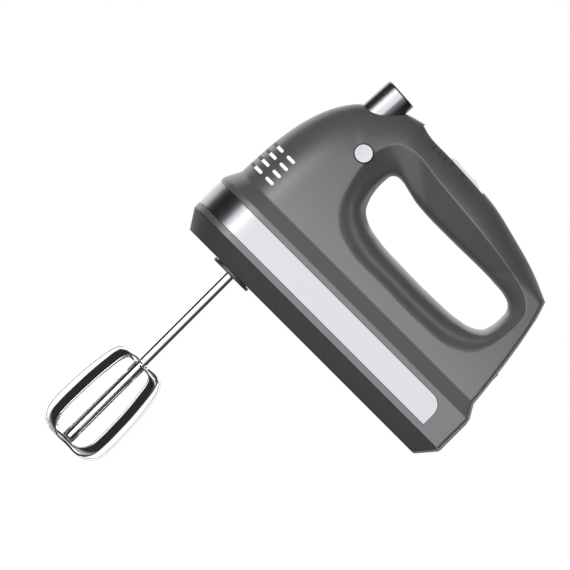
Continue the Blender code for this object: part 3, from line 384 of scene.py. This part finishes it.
def add_piece(name, solid, slot, body, stands_for=(), cutters=(), sharp=32.0):
    """A named piece that rides on a body and stands for CAD nodes; cutters are taken out of it."""
    piece = make_object(name, solid)
    tools = [make_object(f"{name}_cutter_{i}", cutter) for i, cutter in enumerate(cutters)]
    for tool in tools:
        boolean = piece.modifiers.new(tool.name, "BOOLEAN")
        boolean.operation = "DIFFERENCE"
        boolean.solver = "EXACT"
        boolean.object = tool
        boolean.use_self = True
    if tools:
        graph = bpy.context.evaluated_depsgraph_get()
        cut_mesh = bpy.data.meshes.new_from_object(piece.evaluated_get(graph))
        piece.modifiers.clear()
        piece.data = cut_mesh
        close_openings(cut_mesh)
        for tool in tools:
            bpy.data.objects.remove(tool)
    shade(piece.data, sharp)
    piece.data.materials.clear()
    piece.data.materials.append(bpy.data.materials[slot])
    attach(piece, body)
    if stands_for:
        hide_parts(*stands_for)
    return piece


def make_object(name, solid):
    points, faces = solid
    mesh = bpy.data.meshes.new(name)
    mesh.from_pydata([DESIGN @ Vector(p) for p in points], [], faces)
    shape = bmesh.new()
    shape.from_mesh(mesh)
    bmesh.ops.recalc_face_normals(shape, faces=shape.faces)
    shape.to_mesh(mesh)
    shape.free()
    piece = bpy.data.objects.new(name, mesh)
    bpy.context.scene.collection.objects.link(piece)
    return piece


# ---------------------------------------------------------------------------- housing

def level(plan, height):
    """A plan outline as a row of points at one height."""
    return np.column_stack([plan[:, 0], np.maximum(plan[:, 1], SEAM), np.full(len(plan), height)])


def lower_rows(inset, drop, fillet, corner, chamfer, start):
    """Rows from the wall's foot over the ledge and down the skirt to its rim."""
    body = plan_outline(BODY_FRONT + inset, BODY_REAR - inset, BODY_HALF - inset, BODY_NOSE - inset,
                        BODY_CORNER - inset)
    skirt = plan_outline(SKIRT_FRONT + inset, SKIRT_REAR - inset, SKIRT_HALF - inset, SKIRT_NOSE - inset,
                         SKIRT_CORNER - inset)
    tucked = plan_outline(SKIRT_FRONT + inset + chamfer, SKIRT_REAR - inset - chamfer,
                          SKIRT_HALF - inset - chamfer, SKIRT_NOSE - inset - chamfer,
                          SKIRT_CORNER - inset - chamfer)
    foot, ledge = level(body, LEDGE_TOP - drop), level(skirt, LEDGE_LOW - drop * 0.4)
    rim = COVER_TOP + FINE_GAP * 0.5
    edge = level(skirt, rim + RIM_ROUND)
    rows = bend(start, foot, toward(foot, ledge, fillet), 5)
    rows += bend(toward(ledge, foot, corner), ledge, toward(ledge, edge, corner), 5)
    rows += [level(skirt, 30.0), level(skirt, 20.0), edge, level(tucked, rim)]
    return rows


def housing_sheet(inset, flare_rows, side_rows, fillet, corner, chamfer, ridge_round):
    """One skin of a housing half: rows from the grip's edge over the ridge to the outline, then down."""
    drop = inset * 0.6
    foot_height = LEDGE_TOP - drop + fillet
    top = offset_inward(side_outline(foot_height), inset)
    top[0] = (BODY_FRONT + inset, foot_height)
    top[-1] = (BODY_REAR - inset, foot_height)
    foot = plan_outline(BODY_FRONT + inset, BODY_REAR - inset, BODY_HALF - inset, BODY_NOSE - inset,
                        BODY_CORNER - inset)
    bottom = np.column_stack([foot[1:-1, 0], np.full(len(foot) - 2, foot_height)])[::-1]
    outer = np.vstack([top, bottom])
    rel = outer - np.array(GRIP_CENTRE)
    angles = np.arctan2(rel[:, 1], rel[:, 0])
    ray = np.column_stack([np.cos(angles), np.sin(angles)])
    grip = fair_curve(GRIP_OPENING, 16, closed=True)
    ridge = fair_curve(FLARE_RIDGE, 16, closed=True)
    inner = np.array(GRIP_CENTRE) + ray * (polar_radius(grip, angles) + inset)[:, None]
    crest = np.array(GRIP_CENTRE) + ray * (polar_radius(ridge, angles) + inset * 0.4)[:, None]
    crest_width = half_width(crest, inset)
    rows = []
    for k in range(flare_rows):
        fraction = (k / flare_rows)**1.6
        place = inner + (crest - inner) * fraction
        width = SEAM + (crest_width - SEAM) * flare_share(fraction, crest[:, 1])
        rows.append(np.column_stack([place[:, 0], width, place[:, 1]]))
    ridge_index = len(rows)
    for k in range(side_rows + 1):
        place = crest + (outer - crest) * math.sin(math.pi / 2 * k / side_rows)
        width = np.maximum(half_width(place, inset), SEAM)
        rows.append(np.column_stack([place[:, 0], width, place[:, 1]]))
    rows[-1][:len(top), 1] = SEAM
    if ridge_round:
        peak = rows[ridge_index]
        arc = bend(toward(peak, rows[ridge_index - 1], ridge_round), peak,
                   toward(peak, rows[ridge_index + 1], ridge_round), 4)
        rows[ridge_index:ridge_index + 1] = arc
    last = rows[-1]
    start = np.vstack([last[:1], last[:len(top) - 1:-1], last[len(top) - 1:len(top)]])
    return rows, lower_rows(inset, drop, fillet, corner, chamfer, start)[1:], len(top)


def housing_half(side):
    """One half of the clamshell as a closed solid, on the left (-1) or the right (1)."""
    points, faces, edges = [], [], []
    outer_skin = (0.0, 16, 26, LEDGE_FILLET, LEDGE_CORNER, 0.4, RIDGE_ROUND)
    inner_skin = (WALL, 4, 7, 0.6, 0.6, 0.01, 0.0)
    for skin in (outer_skin, inner_skin):
        rows, lower, top_count = housing_sheet(*skin)
        index = []
        for row in rows + lower:
            index.append(list(range(len(points), len(points) + len(row))))
            points += [(x, side * y, z) for x, y, z in row]
        grid, below = index[:len(rows)], index[len(rows):]
        stations = len(rows[0])
        for low, high in zip(grid, grid[1:]):
            faces += [[low[i], low[(i + 1) % stations], high[(i + 1) % stations], high[i]]
                      for i in range(stations) if not (high is grid[-1] and low[i] == high[i])]
        outline = grid[-1]
        foot = [outline[0]] + outline[:top_count - 1:-1] + [outline[top_count - 1]]
        for low, high in zip([foot] + below, below):
            faces += [[low[i], low[i + 1], high[i + 1], high[i]] for i in range(len(low) - 1)]
        edges.append((grid[0], below[-1] + [row[-1] for row in below[-2::-1]] + outline[top_count - 1::-1]
                      + [row[0] for row in below[:-1]]))
    for outer, inner in zip(*edges):
        count = len(outer)
        faces += [[outer[i], outer[(i + 1) % count], inner[(i + 1) % count], inner[i]]
                  for i in range(count)]
    return points, faces


def band_solid(depths, margin):
    """The U-shaped trim band round the nose; depths pairs each depth below the skirt's face with an inset."""
    end = BAND_END + margin
    turn = np.radians(np.linspace(90, 0, 13))
    tail = end - BAND_CORNER + BAND_CORNER * np.cos(turn)
    drop = BAND_CORNER * (1 - np.sin(turn))

    def one_side(depth):
        full = plan_outline(SKIRT_FRONT + depth, SKIRT_REAR - depth, SKIRT_HALF - depth, SKIRT_NOSE - depth,
                            SKIRT_CORNER - depth)
        kept = full[full[:, 0] < end - BAND_CORNER - 0.5]
        return np.vstack([kept, np.column_stack([tail, np.full(len(tail), SKIRT_HALF - depth)])])

    sides = [(one_side(depth), inset) for depth, inset in depths]
    tops = np.concatenate([np.zeros(len(sides[0][0]) - len(drop)), drop])
    path, section = [], []
    for side in (-1, 1):
        order = range(len(tops) - 1, -1, -1) if side < 0 else range(1, len(tops))
        for i in order:
            low, high = BAND_LOW - margin, BAND_HIGH + margin - tops[i]
            path.append(Vector((0, 0, 0)))
            section.append([Vector((line[i][0], side * line[i][1], low + inset)) for line, inset in sides]
                           + [Vector((line[i][0], side * line[i][1], high - inset))
                              for line, inset in reversed(sides)])
    return swept(path, section)


def vent_solids(side):
    """The slots in one side of the nose."""
    solids = []
    for height in VENT_ROWS:
        for front, rear in VENT_SPANS:
            low, high = height - VENT_HALF, height + VENT_HALF
            turn = np.radians(np.linspace(-90, 90, 9))
            tip = [(rear - VENT_HALF + VENT_HALF * math.cos(a), height + VENT_HALF * math.sin(a))
                   for a in turn]
            if front > 0:
                outline = tip + [(front + VENT_HALF - VENT_HALF * math.cos(a),
                                  height - VENT_HALF * math.sin(a)) for a in turn]
            else:
                outline = tip + [(front, high), (front, low)]
            near, far = sorted((side * NOSE_RIB, side * 60.0))
            solids.append(prism(outline, near, far, "y"))
    return join(*solids)


def heel_block():
    """Everything behind the heel plane, as a slab."""
    low, high = Vector(HEEL_LOW), Vector(HEEL_HIGH)
    along = (high - low).normalized() * 90
    behind = Vector((40, 0))
    corners = [low - along, high + along, high + along + behind, low - along + behind]
    return prism([tuple(c) for c in corners], -70, 70, "y")


def housing_cuts(side):
    """Everything cut out of one housing half."""
    cuts = [band_solid([(BAND_THICK + GAP, 0.0), (-3.0, 0.0)], GAP), vent_solids(side),
            block(TRACK_FRONT - GAP, TRACK_REAR + GAP, -TRACK_HALF - GAP, TRACK_HALF + GAP, 133, 150),
            rod(6.0, 184, 200, (0, CORD_Z), "x"), heel_block()]
    if side < 0:
        cuts.append(rod(BOOST_RADIUS + 0.4, -34, -18, (BOOST_X, BOOST_Z), "y"))
    else:
        cuts += [rod(3.6, 8, 60, place, "y", 32) for place in HOUSING_SCREWS]
    return join(*cuts)


def closed_plan(front, rear, half, nose, corner):
    """A whole plan outline, both sides."""
    one = plan_outline(front, rear, half, nose, corner)
    return [(x, -y) for x, y in one] + [(x, y) for x, y in one[-2:0:-1]]


def base_cover_solid():
    """A shallow tray with a steep chamfer all round, its edges rounded."""
    def ring(share, height, inset):
        return closed_plan(FLOOR_FRONT + (SKIRT_FRONT - FLOOR_FRONT) * share + inset,
                           FLOOR_REAR + (SKIRT_REAR - FLOOR_REAR) * share - inset,
                           FLOOR_HALF + (SKIRT_HALF - FLOOR_HALF) * share - inset,
                           FLOOR_NOSE + (SKIRT_NOSE - FLOOR_NOSE) * share - inset,
                           max(BODY_CORNER + (SKIRT_CORNER - BODY_CORNER) * share - inset, 0.5)), height

    lip_outside, lip_inside = WALL + GAP, WALL + GAP + LIP_THICK
    rings = [ring(0, 0.0, 0.9), ring(0, 0.12, 0.4), ring(0.02, 0.45, 0.05), ring(0.06, 0.9, 0.0),
             ring(0.5, 6.0, 0.0), ring(0.95, 11.3, 0.0), ring(1.0, 11.8, 0.05), ring(1.0, COVER_TOP, 0.25),
             ring(1.0, COVER_TOP, lip_outside), ring(1.0, COVER_TOP + LIP_HEIGHT, lip_outside),
             ring(1.0, COVER_TOP + LIP_HEIGHT, lip_inside), ring(1.0, COVER_TOP - 1.0, lip_inside),
             ring(0.0, FLOOR_THICK, WALL)]
    count = len(rings[0][0])
    points = [(x, y, height) for outline, height in rings for x, y in outline]
    faces = [list(range(count)), list(range((len(rings) - 1) * count, len(rings) * count))]
    for level_index in range(len(rings) - 1):
        base = level_index * count
        faces += [[base + i, base + (i + 1) % count, base + count + (i + 1) % count, base + count + i]
                  for i in range(count)]
    return points, faces


def make_housing():
    eject_hole = leaned(rod(EJECT_RADIUS + 0.5, EJECT_LOW - 6, EJECT_TOP + 8, (EJECT_X, 0), steps=72))
    for side, name in ((-1, "left"), (1, "right")):
        add_piece(f"{name}_shell", housing_half(side), "grey_plastic", "casing", [f"{name}_housing"],
                  [housing_cuts(side), eject_hole], sharp=38.0)
    holes = [rod(12.0, -3, 6, (SPINDLE_X, side * SPINDLE_Y)) for side in (-1, 1)]
    holes += [rod(3.4, -1, 6, place, steps=32) for place in BASE_SCREWS]
    add_piece("base_tray", base_cover_solid(), "dark_plastic", "casing", ["base_cover"], [join(*holes)])
    edge = 0.12
    depths = [(BAND_THICK, 0.0), (edge, 0.0), (edge * 0.3, edge * 0.3), (0.0, edge)]
    add_piece("silver_band", band_solid(depths, 0.0), "silver_trim", "casing", ["trim_band"], sharp=15.0)
    for side, name in ((-1, "left"), (1, "right")):
        collar = rounded([(8.2, -2.4), (13.8, -2.4), (13.8, -0.3), (11.6, -0.3), (11.6, 4.4), (8.2, 4.4)],
                         {0: 0.8, 1: 0.9})
        add_piece(f"{name}_collar", turned(collar, (SPINDLE_X, side * SPINDLE_Y)), "dark_plastic", "casing",
                  [f"{name}_socket_collar"])
    grommet = rounded([(3.0, 185.5), (7.4, 185.5), (7.4, 187.6), (5.6, 187.6), (5.6, 191.4), (3.0, 191.4)],
                      {4: 0.7, 5: 0.5})
    add_piece("outlet_grommet", turned(grommet, (0, CORD_Z), "x"), "black_plastic", "casing",
              ["cord_grommet"])


# ---------------------------------------------------------------------------- beaters and controls

def blade_solid(centre, degrees, step):
    """A flat strip bent into a loop: from the shaft out, down, under the shaft's end and back up."""
    half = [(BEATER_RADIUS + 0.4, BLADE_PATH[0][1])] + BLADE_PATH
    half = [(r, z + (-step if z > -100 else step * max(0.0, (-z - 100) / 43))) for r, z in half]
    half.append((0.0, half[-1][1]))
    curve = even_steps(fair_curve(half, 16), 72)
    outline = np.vstack([curve, curve[-2::-1] * (-1, 1)])
    along = np.gradient(outline, axis=0)
    along /= np.linalg.norm(along, axis=1)[:, None]
    normal = np.column_stack([along[:, 1], -along[:, 0]])
    angle = math.radians(degrees)
    out = Vector((math.cos(angle), math.sin(angle), 0))
    across = Vector((-math.sin(angle), math.cos(angle), 0))
    wide, thick, edge = BLADE_WIDTH / 2, BLADE_THICK / 2, 0.3
    outline_2d = [(-wide, thick - edge), (-wide + edge * 0.3, thick - edge * 0.3), (-wide + edge, thick),
                  (wide - edge, thick), (wide - edge * 0.3, thick - edge * 0.3), (wide, thick - edge),
                  (wide, edge - thick), (wide - edge * 0.3, edge * 0.3 - thick), (wide - edge, -thick),
                  (edge - wide, -thick), (edge * 0.3 - wide, edge * 0.3 - thick), (-wide, edge - thick)]
    path, section = [], []
    for (r, z), (nr, nz) in zip(outline.tolist(), normal.tolist()):
        path.append(Vector((centre[0], centre[1], z)) + r * out)
        lift = nr * out + Vector((0, 0, nz))
        section.append([across * a + lift * b for a, b in outline_2d])
    return swept(path, section)


def make_beaters():
    for side, name, phase in ((-1, "left", LEFT_PHASE), (1, "right", RIGHT_PHASE)):
        centre = (SPINDLE_X, side * SPINDLE_Y)
        body = f"{name}_beater"
        shaft = rounded([(0, BEATER_END), (BEATER_RADIUS, BEATER_END), (BEATER_RADIUS, BEATER_TOP - 1.2),
                         (1.8, BEATER_TOP), (0, BEATER_TOP)], {1: 0.8, 2: 0.5, 3: 0.4})
        add_piece(f"{name}_rod", turned(shaft, centre, steps=48), "polished_steel", body,
                  [f"{name}_beater_shaft"])
        for loop, turn, step in (("outer", 0.0, 0.0), ("inner", 90.0, BLADE_STEP)):
            add_piece(f"{name}_{loop}_blades", blade_solid(centre, phase + turn, step), "polished_steel",
                      body, [f"{name}_beater_{loop}_loop"], sharp=50.0)


def make_eject_button():
    cap = rounded([(8.8, EJECT_LOW), (EJECT_RADIUS, EJECT_LOW), (EJECT_RADIUS, EJECT_TOP), (0, EJECT_TOP),
                   (0, EJECT_TOP - 3.5), (8.8, EJECT_TOP - 3.5)], {2: 1.6}, 8)
    add_piece("eject_cap", leaned(turned(cap, (EJECT_X, 0), steps=96)), "silver_trim", "ejector",
              ["eject_button"])


def make_eject_spring():
    """The coil under the button, built at one length and fixed to the casing."""
    turns, steps, sides = 7, 24, 10
    low, high = COIL_LOW, EJECT_TOP - 4.8
    path, section = [], []
    for i in range(turns * steps + 1):
        angle = 2 * math.pi * i / steps
        out = Vector((math.cos(angle), math.sin(angle), 0))
        path.append(Vector((EJECT_X, 0, low + (high - low) * i / (turns * steps))) + out * COIL_RADIUS)
        section.append([out * COIL_WIRE * math.cos(a) + Vector((0, 0, COIL_WIRE * math.sin(a)))
                        for a in (2 * math.pi * k / sides for k in range(sides))])
    coil = add_piece("eject_coil", leaned(swept(path, section)), "spring_steel", "casing",
                     ["eject_spring"])
    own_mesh(coil)


def make_speed_knob():
    """A shallow silver slider with grip ribs across its top and a stem down to the switch."""
    ribs, start, end = 7, KNOB_FRONT + 7.0, KNOB_REAR - 8.0
    top = [(KNOB_FRONT + 0.4, 141.4), (KNOB_FRONT + 1.6, 142.3), (KNOB_FRONT + 3.6, 142.9)]
    for x in np.linspace(start, end, ribs * 4 + 1):
        wave = 0.5 - 0.5 * math.cos(2 * math.pi * (x - start) / ((end - start) / ribs))
        line = np.interp(x, [KNOB_FRONT + 3.6, KNOB_REAR - 4.6], [142.9, 141.8])
        top.append((float(x), float(line) - 0.45 * wave))
    top += [(KNOB_REAR - 4.6, 141.8), (KNOB_REAR - 2.0, 140.9), (KNOB_REAR - 0.4, 139.4)]
    side_view = [(KNOB_REAR, 137.8), (KNOB_FRONT, 137.8)] + top
    stem = block(88, 97, -2, 2, 130.4, 137.8)
    add_piece("speed_slider_cap", join(prism(side_view, -KNOB_HALF, KNOB_HALF, "y"), stem), "silver_trim",
              "speed_slider", ["speed_knob"], sharp=40.0)


def make_boost_button():
    cap = rounded([(0, BOOST_FACE + 0.5), (BOOST_RADIUS - 1.1, BOOST_FACE), (BOOST_RADIUS, BOOST_FACE),
                   (BOOST_RADIUS, BOOST_INNER - 2.5), (3.0, BOOST_INNER - 2.5), (3.0, BOOST_INNER),
                   (0, BOOST_INNER)], {1: 0.5, 2: 0.5})
    add_piece("boost_cap", turned(cap, (BOOST_X, BOOST_Z), "y", 72), "silver_trim", "boost", ["boost_button"])


def make_digits():
    """The speeds printed on the left of the handle, read from the handle's other end."""
    points, faces = [], []
    for i, digit in enumerate(DIGITS):
        text = bpy.data.curves.new("digit", "FONT")
        text.body = digit
        text.size = DIGIT_SIZE
        text.align_x, text.align_y = "CENTER", "CENTER"
        text.extrude = 0.5
        text.resolution_u = 6
        carrier = bpy.data.objects.new("digit", text)
        bpy.context.scene.collection.objects.link(carrier)
        graph = bpy.context.evaluated_depsgraph_get()
        mesh = bpy.data.meshes.new_from_object(carrier.evaluated_get(graph))
        base = len(points)
        for vertex in mesh.vertices:
            x, z = DIGIT_X + DIGIT_PITCH * i - vertex.co.x, DIGIT_Z - vertex.co.y
            points.append((x, vertex.co.z, z))
        faces += [[base + v for v in face.vertices] for face in mesh.polygons]
        bpy.data.objects.remove(carrier)
        bpy.data.meshes.remove(mesh)
    places = np.array([(x, z) for x, _, z in points])
    widths = half_width(places)
    solid = [(x, -(width + (0.05 if lift > 0 else -0.15)), z)
             for (x, lift, z), width in zip(points, widths.tolist())]
    piece = add_piece("speed_digits", (solid, faces), "black_plastic", "casing", sharp=20.0)
    shape = bmesh.new()
    shape.from_mesh(piece.data)
    bmesh.ops.remove_doubles(shape, verts=shape.verts, dist=1e-6)
    bmesh.ops.recalc_face_normals(shape, faces=shape.faces)
    shape.to_mesh(piece.data)
    shape.free()


# ---------------------------------------------------------------------------- materials

def new_material(name, colour, roughness, metallic=0.0, grain=900.0, variation=0.06, relief=0.02, spread=0.05,
                 stretch=(1.0, 1.0, 1.0), specular=0.5):
    """A finish whose colour, roughness and relief vary slightly with fine noise; lengths are in metres."""
    material = bpy.data.materials.get(name) or bpy.data.materials.new(name)
    material.use_nodes = True
    nodes, links = material.node_tree.nodes, material.node_tree.links
    nodes.clear()
    output = nodes.new("ShaderNodeOutputMaterial")
    shader = nodes.new("ShaderNodeBsdfPrincipled")
    links.new(shader.outputs["BSDF"], output.inputs["Surface"])
    shader.inputs["Metallic"].default_value = metallic
    shader.inputs["Specular IOR Level"].default_value = specular
    place = nodes.new("ShaderNodeTexCoord")
    mapping = nodes.new("ShaderNodeMapping")
    mapping.inputs["Scale"].default_value = stretch
    links.new(place.outputs["Object"], mapping.inputs["Vector"])
    noise = nodes.new("ShaderNodeTexNoise")
    noise.inputs["Scale"].default_value = grain
    noise.inputs["Detail"].default_value = 4.0
    links.new(mapping.outputs["Vector"], noise.inputs["Vector"])
    broad = nodes.new("ShaderNodeTexNoise")
    broad.inputs["Scale"].default_value = 35.0
    links.new(place.outputs["Object"], broad.inputs["Vector"])
    tint = nodes.new("ShaderNodeMix")
    tint.data_type = "RGBA"
    links.new(broad.outputs["Fac"], tint.inputs["Factor"])
    for socket, share in (("A", 1 - variation), ("B", 1 + variation)):
        inputs = [i for i in tint.inputs if i.name == socket and i.type == "RGBA"]
        inputs[0].default_value = (*[min(1.0, c * share) for c in colour], 1.0)
    result = [o for o in tint.outputs if o.type == "RGBA"][0]
    links.new(result, shader.inputs["Base Color"])
    rough = nodes.new("ShaderNodeMapRange")
    rough.inputs["To Min"].default_value = max(0.0, roughness - spread)
    rough.inputs["To Max"].default_value = roughness + spread
    links.new(noise.outputs["Fac"], rough.inputs["Value"])
    links.new(rough.outputs["Result"], shader.inputs["Roughness"])
    if relief:
        bump = nodes.new("ShaderNodeBump")
        bump.inputs["Strength"].default_value = relief
        bump.inputs["Distance"].default_value = 0.0002
        links.new(noise.outputs["Fac"], bump.inputs["Height"])
        links.new(bump.outputs["Normal"], shader.inputs["Normal"])
    return material


def add_bands(material, axis, pitch, depth, dark=0.6):
    """Fine parallel lines across an axis, such as stacked sheets or wound wire, as relief and tone."""
    nodes, links = material.node_tree.nodes, material.node_tree.links
    shader = next(node for node in nodes if node.type == "BSDF_PRINCIPLED")
    place = nodes.new("ShaderNodeTexCoord")
    dot = nodes.new("ShaderNodeVectorMath")
    dot.operation = "DOT_PRODUCT"
    dot.inputs[1].default_value = axis
    links.new(place.outputs["Object"], dot.inputs[0])
    turns = nodes.new("ShaderNodeMath")
    turns.operation = "MULTIPLY"
    turns.inputs[1].default_value = 2 * math.pi / pitch
    links.new(dot.outputs["Value"], turns.inputs[0])
    wave = nodes.new("ShaderNodeMath")
    wave.operation = "SINE"
    links.new(turns.outputs["Value"], wave.inputs[0])
    tone = nodes.new("ShaderNodeMapRange")
    tone.inputs["From Min"].default_value = -1.0
    tone.inputs["To Min"].default_value = dark
    links.new(wave.outputs["Value"], tone.inputs["Value"])
    scale = nodes.new("ShaderNodeVectorMath")
    scale.operation = "SCALE"
    colour_link = shader.inputs["Base Color"].links[0].from_socket
    links.new(colour_link, scale.inputs[0])
    links.new(tone.outputs["Result"], scale.inputs["Scale"])
    links.new(scale.outputs["Vector"], shader.inputs["Base Color"])
    bump = nodes.new("ShaderNodeBump")
    bump.inputs["Strength"].default_value = 0.6
    bump.inputs["Distance"].default_value = depth
    links.new(wave.outputs["Value"], bump.inputs["Height"])
    old = shader.inputs["Normal"].links
    if old:
        links.new(old[0].from_socket, bump.inputs["Normal"])
    links.new(bump.outputs["Normal"], shader.inputs["Normal"])


def make_materials():
    new_material("grey_plastic", (0.086, 0.088, 0.092), 0.36, grain=1400.0, variation=0.03, relief=0.06,
                 spread=0.03, specular=1.0)
    new_material("dark_plastic", (0.056, 0.058, 0.062), 0.38, grain=1400.0, variation=0.03, relief=0.06,
                 spread=0.03, specular=0.7)
    new_material("silver_trim", (0.325, 0.325, 0.34), 0.28, 1.0, grain=2500.0, variation=0.02,
                 relief=0.03, spread=0.03)
    new_material("polished_steel", (0.82, 0.83, 0.84), 0.06, 1.0, grain=700.0, variation=0.02,
                 relief=0.01, spread=0.02)
    new_material("spring_steel", (0.50, 0.50, 0.51), 0.32, 1.0, grain=1200.0, variation=0.08, relief=0.05)
    iron = new_material("laminated_iron", (0.30, 0.30, 0.31), 0.50, 0.9, variation=0.12)
    add_bands(iron, ALONG, 0.001, 0.0002, 0.45)
    copper = new_material("copper_wire", (0.72, 0.32, 0.14), 0.32, 1.0, variation=0.10)
    add_bands(copper, ALONG, 0.0007, 0.0003, 0.40)
    new_material("bronze", (0.62, 0.42, 0.20), 0.45, 1.0, grain=3000.0, variation=0.12, relief=0.15)
    new_material("white_nylon", (0.80, 0.79, 0.74), 0.45, variation=0.03, relief=0.04)
    new_material("black_plastic", (0.022, 0.022, 0.024), 0.42, variation=0.05, relief=0.08)
    new_material("carbon", (0.04, 0.04, 0.042), 0.75, 0.2, grain=3500.0, variation=0.15, relief=0.25)
    new_material("board_green", (0.04, 0.20, 0.09), 0.35, grain=500.0, variation=0.25, relief=0.10)
    new_material("capacitor_yellow", (0.78, 0.58, 0.10), 0.30, variation=0.05)
    new_material("wire_blue", (0.05, 0.14, 0.40), 0.40, variation=0.05)


def dress_cad_nodes():
    """Every CAD node keeps its shape and gets the finish of its material slot."""
    slots = {part["node"]: part["material_slot"] for part in frame["record"]["subparts"]}
    for name, node in frame["nodes"].items():
        node.data.materials.clear()
        node.data.materials.append(bpy.data.materials[slots[name]])
        shade(node.data, 35.0)


# ---------------------------------------------------------------------------- light and camera

def direction(turn, rise):
    """A direction from the object: turn is measured from the viewer's side towards the heel."""
    a, e = math.radians(turn), math.radians(rise)
    return math.cos(e) * (math.sin(a) * ALONG - math.cos(a) * ACROSS) + math.sin(e) * UP


def area_light(name, centre, turn, rise, distance, size, radiance):
    lamp = bpy.data.lights.new(name, "AREA")
    lamp.shape = "RECTANGLE"
    lamp.size, lamp.size_y = size
    lamp.energy = radiance * size[0] * size[1] * math.pi
    light = bpy.data.objects.new(name, lamp)
    bpy.context.scene.collection.objects.link(light)
    away = direction(turn, rise)
    side = UP.cross(away).normalized()
    light.matrix_world = Matrix.Translation(centre + away * distance) @ Matrix(
        (side, away.cross(side), away)).transposed().to_4x4()
    light.visible_camera = False


def make_world():
    world = bpy.data.worlds.new("studio")
    bpy.context.scene.world = world
    world.use_nodes = True
    nodes, links = world.node_tree.nodes, world.node_tree.links
    nodes.clear()
    output = nodes.new("ShaderNodeOutputWorld")
    mix = nodes.new("ShaderNodeMixShader")
    path = nodes.new("ShaderNodeLightPath")
    room, backdrop = nodes.new("ShaderNodeBackground"), nodes.new("ShaderNodeBackground")
    room.inputs["Color"].default_value = (1.0, 1.0, 1.02, 1.0)
    place = nodes.new("ShaderNodeTexCoord")
    depth = nodes.new("ShaderNodeVectorMath")
    depth.operation = "DOT_PRODUCT"
    depth.inputs[1].default_value = ACROSS
    links.new(place.outputs["Generated"], depth.inputs[0])
    size = nodes.new("ShaderNodeMath")
    size.operation = "ABSOLUTE"
    links.new(depth.outputs["Value"], size.inputs[0])
    level_range = nodes.new("ShaderNodeMapRange")
    level_range.interpolation_type = "SMOOTHSTEP"
    for socket, value in zip(("From Min", "From Max", "To Min", "To Max"), (0.35, 0.90, *ROOM_LIGHT)):
        level_range.inputs[socket].default_value = value
    links.new(size.outputs["Value"], level_range.inputs["Value"])
    links.new(level_range.outputs["Result"], room.inputs["Strength"])
    backdrop.inputs["Color"].default_value = (1.0, 1.0, 1.0, 1.0)
    backdrop.inputs["Strength"].default_value = 1.0
    links.new(path.outputs["Is Camera Ray"], mix.inputs["Fac"])
    links.new(room.outputs["Background"], mix.inputs[1])
    links.new(backdrop.outputs["Background"], mix.inputs[2])
    links.new(mix.outputs["Shader"], output.inputs["Surface"])


ROOM_LIGHT = (0.03, 0.50)           # radiance of the room at the sides, and in front and behind
LIGHTS = [                          # name, turn, rise, distance, (width, height) in metres, radiance
    ("front_softbox", -20, 5, 1.4, (2.2, 1.4), 2.1),
    ("key_strip", -36, 6, 1.3, (0.25, 1.2), 2.4),
    ("rim_heel", 150, 10, 1.3, (0.3, 1.0), 0.6),
    ("back_softbox", 205, 15, 1.5, (1.6, 1.2), 1.0),
]


def make_studio():
    low, high = cad_box
    centre = (Vector(low) + Vector(high)) / 2
    for name, turn, rise, distance, size, radiance in LIGHTS:
        area_light(name, centre, turn, rise, distance, size, radiance)
    make_world()
    floor_mesh = bpy.data.meshes.new("floor")
    reach = 3.0
    corners = [(-reach, -reach, 0), (reach, -reach, 0), (reach, reach, 0), (-reach, reach, 0)]
    floor_mesh.from_pydata(corners, [], [[0, 1, 2, 3]])
    floor = bpy.data.objects.new("floor", floor_mesh)
    bpy.context.scene.collection.objects.link(floor)
    floor_mesh.materials.append(new_material("floor_paint", (0.86, 0.86, 0.86), 0.6, grain=200.0, relief=0.0,
                                             variation=0.01))
    floor.visible_glossy = False


def make_camera():
    """Looks at the left side squarely, with the nose turned 45 degrees up."""
    lens = bpy.data.cameras.new("camera")
    lens.type = "ORTHO"
    lens.ortho_scale = 0.342
    lens.clip_end = 20.0
    camera = bpy.data.objects.new("camera", lens)
    bpy.context.scene.collection.objects.link(camera)
    aim = DESIGN @ Vector((62.8, 0.0, 17.0))
    right, up = (ALONG + UP).normalized(), (UP - ALONG).normalized()
    camera.matrix_world = Matrix.Translation(aim - ACROSS * 2.0) @ Matrix(
        (right, up, right.cross(up))).transposed().to_4x4()
    bpy.context.scene.camera = camera
    bpy.context.scene.view_settings.view_transform = "Standard"


make_materials()
dress_cad_nodes()
make_camera()
make_studio()
make_housing()
make_beaters()
make_eject_button()
make_eject_spring()
make_speed_knob()
make_boost_button()
make_digits()
